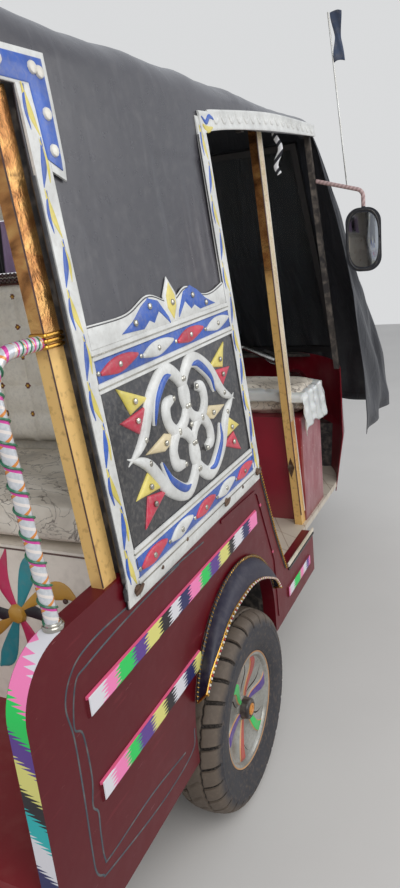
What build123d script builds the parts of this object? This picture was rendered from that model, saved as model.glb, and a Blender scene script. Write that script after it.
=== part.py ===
"""Three-wheeled auto rickshaw with six seats, in millimetres.

The front faces -Y, +Z is up and the vehicle's right side is -X. The origin lies on the
ground under the middle of the vehicle's length and width.
"""

from build123d import *
import math
import os

os.makedirs("parts", exist_ok=True)

SIDES = ((-1, "right"), (1, "left"))

# Overall sizes
wheelbase = 1950
rear_overhang = 870
half_width = 640
roof_height = 2100
tumblehome = 5.0
belt_height = 990
seat_gap = 0.3

# Tyres and rims
tyre_radius = 286
tyre_width = 146
tyre_facets = 30
tread_rib = 44
lug_inner = 30
lug_length = 34
lug_width = 34
lug_root = 20
lug_tip = math.sqrt(tyre_radius ** 2 - (lug_width / 2) ** 2)

# Tyre outline outward from the crown, as half width and radius
TYRE = ((56, 275), (73, 234))
rim_radius = 165
bead_radius = 148
rim_width = 112
disc_wall = 6
hub_radius = 42
hub_bore = 17.8
cap_wall = 14
disc_inset = 26
rear_hub_reach = 50
rear_cap_reach = 32
front_hub_reach = 85
front_cap_reach = 25
spindle_room = 2
spindle_radius = 17.5
rib_count = 6
rib_angle = 15
rib_proud = 7
dish_depth = 22
dish_foot = 54
slot_radius = 104
slot_length = 62
slot_width = 7
slot_turn = 7
track_half = 603

# Front mudguard, which is the front of the vehicle
guard_gap = 22
guard_wall = 2.5

front_reach = tyre_radius + guard_gap + guard_wall
overall_length = rear_overhang + wheelbase + front_reach
rear_axle_y = overall_length / 2 - rear_overhang
front_axle_y = rear_axle_y - wheelbase


def ahead(distance):
    """Y of a station that lies this far ahead of the rear axle."""
    return rear_axle_y - distance


def side_x(height):
    """Distance from the middle to the canopy's outer skin, which leans in above the belt."""
    skin = half_width + seat_gap + canopy_sheet
    return skin - max(0, height - belt_height) * math.tan(math.radians(tumblehome))


def pad_half(height):
    """Half width of what stands inside the canopy's hoops at a height."""
    return seat_half - max(0, height - belt_height) * math.tan(math.radians(tumblehome)) - hoop_bar


def export(part, name):
    """Label a finished piece and write its file."""
    part.label = name
    export_step(part, "parts/" + name + ".step")


# Lower body
body_bottom = 345
floor_top = 505
floor_wall = 22
body_rear = 844
panel_wall = 42
rail_height = 985
door_height = 950
door_foot_gap = 14
tail_corner = 115
sill_rear = 458
skirt_front = 770
door_belt = 262
floor_front = 1500
footwell_half = 602

# Wheel arch in the side panel
arch_radius = 305
arch_height = 430
arch_ahead = 10

# Flare over the tyre, from the arch's upper part out to a flatter brow, both ending at a foot
flare_reach = 45
flare_foot = 515
brow_ahead = 20
brow_height = 182
brow_radius = 487
brow_foot = 561
flare_wall = 3
tub_wall = 3
tub_foot = 400
tub_inset = 155

# Raised ribs on the side panels, as lower edge, height, rear station and front station
rib_depth = 7
rib_slope = 35
RIBS = ((780, 48, -690, 205), (588, 48, -690, -300), (400, 40, 445, 705))

# Raised bead round the panel's front corner, as station and height of its line
bead_depth = 3
bead_width = 9
bead_turn = 30
BEAD = ((-40, 893), (225, 880), (338, 600), (345, 390))

# Tail
tail_wall = 12
tail_lamp_x = 500
tail_lamp_z = 430
tail_lamp_width = 150
tail_lamp_height = 70
tail_lamp_depth = 20

# Benches
bench_front = 360
bench_rear = -410
board_wall = 15
deck_height = 960
cushion_height = 135
upper_pad_wall = 14
curtain_inset = 6
curtain_wall = 8
cushion_corner = 28
cushion_edge = 22
cushion_nose = 30
ledge_height = 1545
back_wall = 45
window_low = 1565
window_high = 1705
window_half = 430
partition_wall = 20
shoulder_rise = 40
seat_half = 594

# Front bench
box_rear = 860
box_front = 1115
box_half = 592
box_height = 925
box_wall = 12
front_cushion_front = 1160
front_cushion_half = 620
front_cushion_height = 105
cover_wall = 3
cover_drop = 150
cover_left = 590

# Roof and canopy
roof_front = 1325
roof_wall = 12
roof_side_foot = 1880
roof_shoulder = 2010
shoulder_radius = 95
end_wall = 4
end_depth = 62
door_top_rear = 1885
door_top_front = 1948
canopy_hem = 910
canopy_rear = -520
canopy_front = 240
canopy_sheet = 6
hoop_bar = 20
stringer_half = 470
stringer_height = 2005

# Roof hoops, as station and foot height
HOOPS = ((-850, 1880), (-498, 985), (-34, 985), (226, 985), (560, 1900), (1310, 1020))

# Posts and guard rails
post_width = 46
post_depth = 28
rear_post_gap = 8
front_post_foot_x = 573
front_post_lean = 3.3
post_lean = tumblehome
rail_tube = 12.5
guard_station = -715
guard_top = 1460
guard_bend = 70
guard_flange = 20
guard_flange_wall = 8

# Nose
nose_station = 1880
cowl_rear = 1300
cowl_wall = 4

# Cowl sections, as height, half width, rear station and nose station
COWL = ((460, 600, cowl_rear, 1790), (720, 640, cowl_rear, nose_station),
        (1020, 640, cowl_rear, 1810))
headlamp_x = 300
headlamp_height = 860
headlamp_radius = 68
headlamp_rear = 1690
headlamp_front = 1815
headlamp_edge = 12
toe_station = 1600
shelf_wall = 4
neck_half = 30
neck_rise = 25
fork_room_front = 1800
fork_room_half = 36
dash_wall = 14
dash_depth = 60
screen_top_half = 490
wheel_slot_half = 300
wheel_slot_top = 680
shelf_height = 690
screen_top = 1930
screen_top_station = 1315
screen_foot_station = 1730
screen_tube = 24
screen_half = 520
glass_wall = 5

# Steering
rake = 20
fork_offset = 40
stem_radius = 16
head_gap = 0.3
head_wall = 9
head_low = 712
head_high = 880
bore_margin = 50
race_wall = 8
guard_arc = 165
crown_gap = 30
crown_wall = 22
leg_radius = 19
leg_half = 98
bar_height = 1085
bar_half = 300
bar_centre_half = 90
bar_setback = 30
bar_sweep = 130
bar_radius = 12.5
bar_bend = 40
grip_radius = 17
grip_length = 115

# Chassis and running gear
rail_half = 415
rail_box_width = 40
rail_box_height = 62
chassis_rear = -800
chassis_front = 1480
axle_tube = 32
axle_half = 520
diff_radius = 105
drum_radius = 110
spring_half = 440
spring_rise = 42
spring_top = 392
spring_width = 50
spring_leaf = 8
shaft_radius = 26
engine_rear = 875
engine_front = 1100
engine_half = 170
engine_low = 250
engine_high = 720
engine_room = 8
diff_half = 70
drum_width = 50
spring_leaves = 3
leaf_step = 0.24
exhaust_port = 1000
exhaust_height = 340
exhaust_x = 255
exhaust_end = 330
exhaust_pipe = 18
exhaust_bend = 50
silencer_rear = 420
silencer_length = 340
silencer_radius = 55

# Rain sheet hung over the nose, as height, half width, rear station and front station
sheet_wall = 4
sheet_top = 1990
sheet_tuck = 20
SHEET = ((sheet_top, side_x(sheet_top) - sheet_tuck, roof_front + seat_gap, 1340),
         (1330, 702, 1332, 1665), (745, 752, 1332, 1975))

# Mirrors and antenna
mirror_x = 752
mirror_height = 1540
mirror_half_width = 70
mirror_half_height = 122
mirror_depth = 30
mirror_taper = 18
mirror_arm = 8
mirror_arm_height = mirror_height + 185
mirror_root_height = mirror_arm_height + 55
mirror_arm_bend = 30
antenna_foot_x = 690
antenna_top_x = 640
antenna_top = 2360
antenna_radius = 3
streamer_length = 175
streamer_width = 46
streamer_wall = 5


# Wheels
def wheel_plane(x, y):
    """Plane through a wheel's axle: local x runs along the axle and local y is the radius."""
    return Plane(origin=(x, y, tyre_radius), x_dir=(1, 0, 0), z_dir=(0, -1, 0))


def axle_plane(x, y, offset):
    """Plane square to a wheel's axle, this far from the wheel's middle: local z runs along +X."""
    return Plane(origin=(x + offset, y, tyre_radius), x_dir=(0, 0, 1), z_dir=(1, 0, 0))


def frustum(x, y, side, wide, narrow, mode=Mode.ADD):
    """Faceted band of a tyre between two of its outline's points."""
    sections = []
    for half, radius in (wide, narrow):
        with BuildSketch(axle_plane(x, y, side * half)) as section:
            RegularPolygon(radius, tyre_facets)
        sections.append(section.sketch)
    loft(sections, ruled=True, mode=mode)


def make_tyre(name, x, y):
    """Faceted tyre: a middle rib, a grooved crown, bulged sides and a row of shoulder lugs."""
    bead = (rim_width / 2 - 6, rim_radius)
    outline = ((0, TYRE[0][1]),) + TYRE
    with BuildPart() as tyre:
        for side, hand in SIDES:
            for wide, narrow in zip(outline, TYRE):
                frustum(x, y, side, wide, narrow)
        with BuildSketch(axle_plane(x, y, -tread_rib / 2)):
            RegularPolygon(tyre_radius, tyre_facets)
        extrude(amount=tread_rib)
        for side, hand in SIDES:
            with BuildSketch(axle_plane(x, y, side * lug_inner)):
                with PolarLocations(0, tyre_facets, start_angle=180 / tyre_facets):
                    with Locations((lug_tip - lug_root, 0)):
                        Rectangle(2 * lug_root, lug_width)
            extrude(amount=side * lug_length)
        for side, hand in SIDES:
            frustum(x, y, side, TYRE[-1], bead, Mode.SUBTRACT)
        with BuildSketch(axle_plane(x, y, -tyre_width)):
            Circle(bead_radius)
        extrude(amount=2 * tyre_width, mode=Mode.SUBTRACT)
    export(tyre.part, name)


def spoke_plane(x, y, turn):
    """Plane through a wheel's axle, turned round it: local x runs along +X, y is the radius."""
    angle = math.radians(turn)
    return Plane(origin=(x, y, tyre_radius), x_dir=(1, 0, 0),
                 z_dir=(0, -math.cos(angle), math.sin(angle)))


def dish_face(face, outward, proud, foot, tip):
    """Section of the dished disc between two radii, this proud of its outer skin."""
    with BuildLine() as section:
        Polyline((face - outward * (dish_depth - proud), foot), (face + outward * proud, tip),
                 (face - outward * disc_wall, tip),
                 (face - outward * (dish_depth + disc_wall), foot), close=True)
    make_face(section.edges())


def make_rim(name, x, y, outward, hub_inner, cap):
    """Pressed wheel: rim well, dished disc with raised ribs and slots, and a capped hub."""
    half = rim_width / 2
    face = outward * (half - disc_inset)
    hub_face = face - outward * hub_inner
    axle = Axis((x, y, tyre_radius), (1, 0, 0))
    disc_tip = bead_radius - 4
    with BuildPart() as rim:
        with BuildSketch(wheel_plane(x, y)):
            with BuildLine():
                Polyline((-half, rim_radius - 1), (-half, bead_radius - 5), (half, bead_radius - 5),
                         (half, rim_radius - 1), (half - 5, rim_radius - 1),
                         (half - 5, bead_radius), (-half + 5, bead_radius),
                         (-half + 5, rim_radius - 1), close=True)
            make_face()
            dish_face(face, outward, 0, dish_foot, disc_tip)
            with BuildLine():
                Polyline((hub_face, 0), (hub_face, hub_radius),
                         (face - outward * dish_depth, dish_foot + 1),
                         (face - outward * (dish_depth - 10), hub_radius),
                         (face + outward * (cap - 10), hub_radius),
                         (face + outward * cap, hub_radius - 12), (face + outward * cap, 0),
                         close=True)
            make_face()
        revolve(axis=axle)
        for rib in range(rib_count):
            turn = rib * 360 / rib_count
            with BuildSketch(spoke_plane(x, y, turn - rib_angle / 2)):
                dish_face(face, outward, rib_proud, dish_foot, disc_tip)
            revolve(axis=axle, revolution_arc=rib_angle)
        with BuildSketch(axle_plane(x, y, 0)):
            with PolarLocations(slot_radius, rib_count, start_angle=rib_angle / 2 + slot_turn):
                SlotOverall(slot_length, slot_width)
        extrude(amount=2 * half, both=True, mode=Mode.SUBTRACT)
        with BuildSketch(Plane(origin=(x + hub_face, y, tyre_radius),
                               x_dir=(0, 0, 1), z_dir=(outward, 0, 0))):
            Circle(hub_bore)
        extrude(amount=bore_depth(x, hub_inner, cap), mode=Mode.SUBTRACT)
    export(rim.part, name)


def bore_depth(x, hub_inner, cap):
    """The front hub is open at both ends and a rear hub is closed by its cap."""
    return hub_inner + cap + 1 if x == 0 else hub_inner + cap - cap_wall


# Wheel name, place, outward side, and how far the hub reaches inward and outward of the disc
WHEELS = (
    ("rear_right", -track_half, rear_axle_y, -1, rear_hub_reach, rear_cap_reach),
    ("rear_left", track_half, rear_axle_y, 1, rear_hub_reach, rear_cap_reach),
    ("front", 0, front_axle_y, 1, front_hub_reach, front_cap_reach),
)
for wheel_name, wheel_x, wheel_y, outward, hub_inner, cap in WHEELS:
    make_tyre(wheel_name + "_tyre", wheel_x, wheel_y)
    make_rim(wheel_name + "_rim", wheel_x, wheel_y, outward, hub_inner, cap)


# Lower body
def side_plane(x):
    """Plane across the vehicle at x: local x runs rearward and local y runs up."""
    return Plane(origin=(x, 0, 0), x_dir=(0, 1, 0), z_dir=(1, 0, 0))


def level(height):
    """Level plane at a height."""
    return Plane.XY.offset(height)


def across(station):
    """Upright plane across the vehicle: local x is world X and local y runs up."""
    return Plane(origin=(0, ahead(station), 0), x_dir=(1, 0, 0), z_dir=(0, -1, 0))


def arch_band(station, height, radius, foot):
    """Closed band along an arc, down to a foot height on both sides, as thick as the flare."""
    start = math.degrees(math.asin((foot - height) / radius))
    outer = CenterArc((ahead(station), height), radius + flare_wall, start, 180 - 2 * start)
    inner = CenterArc((ahead(station), height), radius, start, 180 - 2 * start)
    Line(outer @ 0, inner @ 0)
    Line(outer @ 1, inner @ 1)


def arch_face(radius, foot):
    """Wheel arch outline: a half round on two straight legs."""
    middle = ahead(arch_ahead)
    with BuildLine() as outline:
        Polyline((middle - radius, arch_height), (middle - radius, foot),
                 (middle + radius, foot), (middle + radius, arch_height))
        ThreePointArc((middle + radius, arch_height), (middle, arch_height + radius),
                      (middle - radius, arch_height))
    make_face(outline.edges())


for side, hand in SIDES:
    tail_centre = (ahead(tail_corner - body_rear), rail_height - tail_corner)
    with BuildPart() as side_panel:
        with BuildSketch(side_plane(side * half_width)):
            with BuildLine():
                corner = CenterArc(tail_centre, tail_corner, 0, 90)
                Polyline(corner @ 1, (ahead(canopy_rear), rail_height),
                         (ahead(door_belt), door_height),
                         (ahead(sill_rear - door_foot_gap), floor_top + door_foot_gap),
                         (ahead(sill_rear + door_foot_gap), floor_top),
                         (ahead(skirt_front), floor_top), (ahead(skirt_front), body_bottom),
                         (ahead(-body_rear), body_bottom), corner @ 0)
            make_face()
        extrude(amount=-side * panel_wall)
        with BuildSketch(side_plane(side * (half_width + 1))):
            arch_face(arch_radius, body_bottom - 1)
        extrude(amount=-side * (panel_wall + 2), mode=Mode.SUBTRACT)
        for rib_low, rib_band, rib_rear, rib_front in RIBS:
            with BuildSketch(side_plane(side * half_width)):
                with Locations(((ahead(rib_rear) + ahead(rib_front)) / 2, rib_low + rib_band / 2)):
                    Rectangle(rib_front - rib_rear, rib_band)
            extrude(amount=side * rib_depth, taper=rib_slope)
        with BuildSketch(side_plane(side * half_width)):
            with BuildLine() as bead:
                FilletPolyline([(ahead(station), height) for station, height in BEAD],
                               radius=bead_turn)
            trace(bead.line, bead_width)
        extrude(amount=side * bead_depth)
    export(side_panel.part, "side_panel_" + hand)

with BuildPart() as wheel_flares:
    for side, hand in SIDES:
        with BuildSketch(side_plane(side * half_width)):
            with BuildLine():
                arch_band(arch_ahead, arch_height, arch_radius, flare_foot)
            make_face()
        with BuildSketch(side_plane(side * (half_width + flare_reach))):
            with BuildLine():
                arch_band(brow_ahead, brow_height, brow_radius, brow_foot)
            make_face()
        loft()
export(wheel_flares.part, "wheel_flares")

with BuildPart() as wheel_tubs:
    for side, hand in SIDES:
        tub_outer = side * (half_width - panel_wall)
        tub_inner = side * (half_width - tub_inset)
        with BuildSketch(side_plane(tub_outer)):
            arch_face(arch_radius + tub_wall, tub_foot)
        extrude(amount=tub_inner - tub_outer)
        with BuildSketch(side_plane(tub_outer)):
            arch_face(arch_radius, tub_foot - 1)
        extrude(amount=tub_inner - tub_outer + side * tub_wall, mode=Mode.SUBTRACT)
export(wheel_tubs.part, "wheel_tubs")

body_inner = half_width - panel_wall
tub_gap = arch_radius + tub_wall + seat_gap


def tub_hole():
    """Room for the two wheel tubs in a floor sketch."""
    with Locations((-half_width, ahead(arch_ahead)), (half_width, ahead(arch_ahead))):
        Rectangle(2 * (tub_inset + seat_gap), 2 * tub_gap, mode=Mode.SUBTRACT)


def strip(rear, front, half):
    """Rectangle on a level sketch between two stations, centred on the vehicle."""
    with Locations((0, (ahead(rear) + ahead(front)) / 2)):
        Rectangle(2 * half, front - rear)


def nose_outline(half, rear, nose, inset, back):
    """D-shaped level outline: a round front and a straight back."""
    with BuildLine() as outline:
        ThreePointArc((-half + inset, ahead(rear)), (0, ahead(nose - inset)),
                      (half - inset, ahead(rear)))
        Polyline((half - inset, ahead(rear)), (half - inset, ahead(rear - back)),
                 (-half + inset, ahead(rear - back)), (-half + inset, ahead(rear)))
    make_face(outline.edges())


def nose_solid(inset, back, low, high):
    """Loft through the cowl's sections, drawn in by an inset and trimmed between two heights."""
    with BuildPart() as body:
        for height, half, rear, nose in COWL:
            with BuildSketch(level(height)) as section:
                nose_outline(half, rear, nose, inset, back)
        loft(ruled=True)
        split(bisect_by=level(low), keep=Keep.TOP)
        split(bisect_by=level(high), keep=Keep.BOTTOM)
    return body.part


cowl_low = COWL[0][0]
cowl_high = COWL[-1][0]
nose_skin = nose_solid(0, 0.01, cowl_low, cowl_high)
nose_space = nose_solid(cowl_wall, 1, cowl_low, cowl_high)
nose_room = nose_solid(cowl_wall + seat_gap, 1, cowl_low, cowl_high)
with BuildPart() as rear_floor:
    with BuildSketch(level(floor_top)):
        strip(-body_rear, bench_rear, body_inner)
    extrude(amount=-floor_wall)
export(rear_floor.part, "rear_floor")

with BuildPart() as toe_floor:
    with BuildSketch(level(floor_top)):
        strip(cowl_rear - seat_gap, floor_front, half_width)
    extrude(amount=-floor_wall)
    add(nose_room, mode=Mode.INTERSECT)
    with BuildSketch(level(floor_top)):
        strip(chassis_front - seat_gap, floor_front + 1, neck_half + seat_gap)
    extrude(amount=-floor_wall, mode=Mode.SUBTRACT)

with BuildPart() as cabin_floor:
    with BuildSketch(level(floor_top)):
        strip(bench_rear, skirt_front, body_inner)
        strip(skirt_front, cowl_rear - seat_gap, footwell_half)
        tub_hole()
        with Locations((0, (ahead(engine_rear) + ahead(engine_front)) / 2)):
            Rectangle(2 * (engine_half + engine_room), engine_front - engine_rear
                      + 2 * engine_room, mode=Mode.SUBTRACT)
    extrude(amount=-floor_wall)
    add(toe_floor.part)
export(cabin_floor.part, "cabin_floor")

with BuildPart() as tail_panel:
    with BuildSketch(level(floor_top - floor_wall)):
        strip(-body_rear, -body_rear + tail_wall, body_inner)
    extrude(amount=body_bottom - floor_top + floor_wall)
export(tail_panel.part, "tail_panel")

with BuildPart() as tail_lamps:
    with BuildSketch(across(-body_rear)):
        with Locations((-tail_lamp_x, tail_lamp_z), (tail_lamp_x, tail_lamp_z)):
            RectangleRounded(tail_lamp_width, tail_lamp_height, tail_lamp_height / 3)
    extrude(amount=-tail_lamp_depth)
export(tail_lamps.part, "tail_lamps")


# Benches, partition and cushions
deck_foot = deck_height - board_wall
with BuildPart() as bench_base:
    with BuildSketch(level(floor_top)):
        strip(bench_rear, bench_rear + board_wall, body_inner)
        strip(bench_front - board_wall, bench_front, body_inner)
    extrude(amount=deck_foot - floor_top)
    with BuildSketch(level(deck_foot)):
        strip(bench_rear, bench_front, body_inner)
    extrude(amount=board_wall)
export(bench_base.part, "bench_base")


def roof_outline(inset, foot):
    """Closed outline of the roof, drawn in by an inset, with sides that lean down to a foot."""
    with BuildLine() as outline:
        edge = side_x(roof_shoulder) - inset
        base = side_x(foot) - inset
        crown = ThreePointArc((-edge, roof_shoulder - inset), (0, roof_height - inset),
                              (edge, roof_shoulder - inset))
        Polyline(crown @ 1, (base, foot), (-base, foot), crown @ 0)
    make_face(outline.edges())


def round_shoulders(sketch, inset):
    """Round the two upper corners of a roof outline."""
    corners = sketch.vertices().sort_by(Axis.Y)[-2:]
    fillet(corners, shoulder_radius - inset)


seat_foot = deck_height + seat_gap
cushion_top = seat_foot + cushion_height
back_foot = cushion_top + seat_gap
partition_rear = -partition_wall / 2
partition_front = partition_wall / 2
shoulder_height = deck_height + shoulder_rise
with BuildPart() as partition:
    with BuildSketch(across(partition_rear)):
        with BuildLine():
            Polyline((-seat_half, deck_height), (-seat_half, shoulder_height),
                     (-pad_half(roof_side_foot), roof_side_foot),
                     (-stringer_half + hoop_bar, stringer_height - hoop_bar),
                     (stringer_half - hoop_bar, stringer_height - hoop_bar),
                     (pad_half(roof_side_foot), roof_side_foot),
                     (seat_half, shoulder_height), (seat_half, deck_height), close=True)
        make_face()
        with Locations((0, (window_low + window_high) / 2)):
            Rectangle(2 * window_half, window_high - window_low, mode=Mode.SUBTRACT)
    extrude(amount=partition_wall)
export(partition.part, "partition")


def pad(station, wall, low, high):
    """Upright back pad on a sketch plane, narrowing upward with the canopy."""
    with BuildSketch(across(station)) as face:
        with BuildLine():
            Polyline((-pad_half(low), low), (-pad_half(high), high), (pad_half(high), high),
                     (pad_half(low), low), close=True)
        make_face()
    extrude(face.sketch, amount=wall)


with BuildPart() as rear_backrest:
    pad(partition_rear - seat_gap - back_wall, back_wall, back_foot, ledge_height)
    pad(partition_rear - seat_gap - upper_pad_wall, upper_pad_wall,
        window_high + board_wall, roof_side_foot)
export(rear_backrest.part, "rear_backrest")

with BuildPart() as middle_backrest:
    pad(partition_front + seat_gap, back_wall, back_foot, ledge_height)
export(middle_backrest.part, "middle_backrest")

with BuildPart() as curtain:
    with BuildSketch(across(partition_rear + curtain_inset)):
        with Locations((0, (window_low + window_high) / 2)):
            Rectangle(2 * (window_half - seat_gap), window_high - window_low - 2 * seat_gap)
    extrude(amount=curtain_wall)
export(curtain.part, "curtain")


def cushion(foot, height, rear, front, half):
    """Plain cushion block with rounded upright and top edges."""
    with BuildSketch(level(foot)) as outline:
        with Locations((0, (ahead(rear) + ahead(front)) / 2)):
            RectangleRounded(2 * half, front - rear, cushion_corner)
    block = extrude(outline.sketch, amount=height)
    fillet(block.faces().sort_by(Axis.Z)[-1].edges(), cushion_edge)


with BuildPart() as rear_cushion:
    cushion(seat_foot, cushion_height, bench_rear - cushion_nose, partition_rear - seat_gap,
            seat_half)
export(rear_cushion.part, "rear_cushion")

with BuildPart() as middle_cushion:
    cushion(seat_foot, cushion_height, partition_front + seat_gap, bench_front + cushion_nose,
            seat_half)
export(middle_cushion.part, "middle_cushion")


# Front bench
with BuildPart() as front_bench_box:
    with BuildSketch(level(floor_top)):
        strip(box_rear, box_front, box_half)
    extrude(amount=box_height - floor_top)
    with BuildSketch(level(floor_top)):
        strip(box_rear + box_wall, box_front - box_wall, box_half - box_wall)
    extrude(amount=box_height - floor_top - box_wall, mode=Mode.SUBTRACT)
export(front_bench_box.part, "front_bench_box")

front_seat_foot = box_height + seat_gap
front_seat_top = front_seat_foot + front_cushion_height
with BuildPart() as front_cushion:
    cushion(front_seat_foot, front_cushion_height, box_rear + seat_gap, front_cushion_front,
            front_cushion_half)
export(front_cushion.part, "front_cushion")

cover_face = front_cushion_half + seat_gap
with BuildPart() as seat_cover:
    with BuildSketch(Plane(origin=(0, ahead(box_rear + cushion_corner), 0), x_dir=(1, 0, 0),
                           z_dir=(0, -1, 0))):
        with BuildLine():
            top = front_seat_top + seat_gap
            corner = cushion_edge + seat_gap
            turn = CenterArc((corner - cover_face, top - corner), corner, 90, 90)
            Polyline(turn @ 0, (cover_left, top), (cover_left, top + cover_wall),
                     (corner - cover_face, top + cover_wall))
            wrap = CenterArc((corner - cover_face, top - corner), corner + cover_wall, 90, 90)
            Polyline(wrap @ 1, (-cover_face - cover_wall, top - cover_drop),
                     (-cover_face, top - cover_drop), turn @ 1)
        make_face()
    extrude(amount=front_cushion_front - box_rear - 2 * cushion_corner)
export(seat_cover.part, "seat_cover")


# Roof, canopy sides and hoops
with BuildPart() as canopy_roof:
    with BuildSketch(across(-rear_overhang)) as roof_section:
        roof_outline(0, roof_side_foot)
        round_shoulders(roof_section, 0)
    extrude(amount=rear_overhang + roof_front)
    with BuildSketch(across(-rear_overhang - 1)) as roof_space:
        roof_outline(roof_wall, roof_side_foot - roof_wall)
        round_shoulders(roof_space, roof_wall)
    extrude(amount=rear_overhang + roof_front + 2, mode=Mode.SUBTRACT)
    for station in (-rear_overhang, roof_front - end_wall):
        with BuildSketch(across(station)) as end_band:
            roof_outline(roof_wall / 2, roof_side_foot)
            round_shoulders(end_band, roof_wall / 2)
        extrude(amount=end_wall)
        with BuildSketch(across(station - 1)) as end_space:
            roof_outline(end_depth, roof_side_foot - end_depth)
            round_shoulders(end_space, end_depth)
        extrude(amount=end_wall + 2, mode=Mode.SUBTRACT)
    with BuildSketch(side_plane(-half_width)):
        with BuildLine():
            below = roof_side_foot - 2
            Polyline((ahead(canopy_front), below), (ahead(canopy_front), door_top_rear),
                     (ahead(roof_front + 1), door_top_front), (ahead(roof_front + 1), below),
                     close=True)
        make_face()
    extrude(amount=2 * half_width, mode=Mode.SUBTRACT)
export(canopy_roof.part, "canopy_roof")

for side, hand in SIDES:
    with BuildPart() as canopy_side:
        with BuildSketch(across(canopy_rear)):
            with BuildLine():
                skin = half_width + seat_gap + canopy_sheet
                Polyline((side * skin, canopy_hem), (side * skin, belt_height),
                         (side * side_x(roof_side_foot), roof_side_foot),
                         (side * (side_x(roof_side_foot) - canopy_sheet), roof_side_foot),
                         (side * (skin - canopy_sheet), belt_height),
                         (side * (skin - canopy_sheet), canopy_hem), close=True)
            make_face()
        extrude(amount=canopy_front - canopy_rear)
    export(canopy_side.part, "canopy_side_" + hand)

hoop_gap = roof_wall + seat_gap
with BuildPart() as canopy_hoops:
    for station, hoop_foot in HOOPS:
        with BuildSketch(across(station - hoop_bar / 2)) as hoop:
            roof_outline(hoop_gap, hoop_foot)
            round_shoulders(hoop, hoop_gap)
        extrude(amount=hoop_bar)
        with BuildSketch(across(station - hoop_bar / 2 - 1)) as hoop_space:
            roof_outline(hoop_gap + hoop_bar, hoop_foot - 1)
            round_shoulders(hoop_space, hoop_gap + hoop_bar)
        extrude(amount=hoop_bar + 2, mode=Mode.SUBTRACT)
    with BuildSketch(across(HOOPS[0][0])):
        with Locations((-stringer_half, stringer_height), (stringer_half, stringer_height)):
            Rectangle(hoop_bar, hoop_bar)
    extrude(amount=HOOPS[-1][0] - HOOPS[0][0])
export(canopy_hoops.part, "canopy_hoops")


# Posts and guard rails
def leaning_post(foot_x, foot_z, top_z, lean, station):
    """Flat post that leans inward from its foot."""
    for side, hand in SIDES:
        with BuildSketch(across(station - post_width / 2)) as face:
            with BuildLine():
                shift = (top_z - foot_z) * math.tan(math.radians(lean))
                Polyline((side * (foot_x - post_depth / 2), foot_z),
                         (side * (foot_x + post_depth / 2), foot_z),
                         (side * (foot_x + post_depth / 2 - shift), top_z),
                         (side * (foot_x - post_depth / 2 - shift), top_z), close=True)
            make_face()
        extrude(face.sketch, amount=post_width)


rear_post_station = canopy_rear - rear_post_gap - post_width / 2
rear_post_foot_x = half_width - panel_wall / 2
front_post_station = box_rear - seat_gap - post_width / 2
front_post_top = stringer_height - hoop_bar / 2
with BuildPart() as gold_posts:
    leaning_post(rear_post_foot_x, rail_height, roof_side_foot, post_lean, rear_post_station)
    leaning_post(front_post_foot_x, floor_top, front_post_top, front_post_lean,
                 front_post_station)
export(gold_posts.part, "gold_posts")

guard_foot = rail_height + seat_gap + rail_tube * math.sin(math.radians(post_lean))
with BuildPart() as guard_rails:
    for side, hand in SIDES:
        with BuildLine() as route:
            guard_lean = (guard_top - rail_height) * math.tan(math.radians(post_lean))
            post_x = rear_post_foot_x - guard_lean
            FilletPolyline((side * rear_post_foot_x, ahead(guard_station), guard_foot),
                           (side * post_x, ahead(guard_station), guard_top),
                           (side * post_x, ahead(rear_post_station - post_width / 2), guard_top),
                           radius=guard_bend)
        with BuildSketch(Plane(origin=route.line @ 0, z_dir=route.line % 0)):
            Circle(rail_tube)
        sweep(path=route.line)
        with BuildSketch(level(rail_height + seat_gap)):
            with Locations((side * rear_post_foot_x, ahead(guard_station))):
                Circle(guard_flange)
        extrude(amount=guard_flange_wall)
export(guard_rails.part, "guard_rails")


# Cowl, shelf, windscreen and headlamps
with BuildPart() as front_cowl:
    add(nose_skin)
    add(nose_space, mode=Mode.SUBTRACT)
    with BuildSketch(level(cowl_low - 1)):
        strip(cowl_rear - 1, nose_station + cowl_wall, wheel_slot_half)
    extrude(amount=wheel_slot_top - cowl_low, mode=Mode.SUBTRACT)
    with BuildSketch(across(cowl_rear)):
        with Locations((-headlamp_x, headlamp_height), (headlamp_x, headlamp_height)):
            Circle(headlamp_radius + seat_gap)
    extrude(amount=nose_station, mode=Mode.SUBTRACT)
export(front_cowl.part, "front_cowl")

with BuildPart() as headlamps:
    with BuildSketch(across(headlamp_rear)):
        with Locations((-headlamp_x, headlamp_height), (headlamp_x, headlamp_height)):
            Circle(headlamp_radius)
    extrude(amount=headlamp_front - headlamp_rear)
    fillet(headlamps.faces().sort_by(Axis.Y)[0:2].edges(), headlamp_edge)
export(headlamps.part, "headlamps")

with BuildPart() as nose_shelf:
    with BuildSketch(side_plane(-half_width)):
        with BuildLine():
            Polyline((ahead(floor_front), floor_top - floor_wall),
                     (ahead(floor_front), floor_top), (ahead(toe_station), shelf_height),
                     (ahead(nose_station), shelf_height),
                     (ahead(nose_station), shelf_height - shelf_wall),
                     (ahead(toe_station + shelf_wall), shelf_height - shelf_wall),
                     (ahead(floor_front + shelf_wall), floor_top - floor_wall), close=True)
        make_face()
    extrude(amount=2 * half_width)
    add(nose_room, mode=Mode.INTERSECT)
    with BuildSketch(level(body_bottom)):
        strip(floor_front - 10, fork_room_front, fork_room_half)
    extrude(amount=shelf_height, mode=Mode.SUBTRACT)
export(nose_shelf.part, "nose_shelf")

with BuildPart() as dashboard:
    with BuildSketch(level(cowl_high - dash_wall)):
        strip(screen_foot_station - dash_depth, nose_station, half_width)
    extrude(amount=dash_wall)
    add(nose_room, mode=Mode.INTERSECT)
export(dashboard.part, "dashboard")

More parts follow.
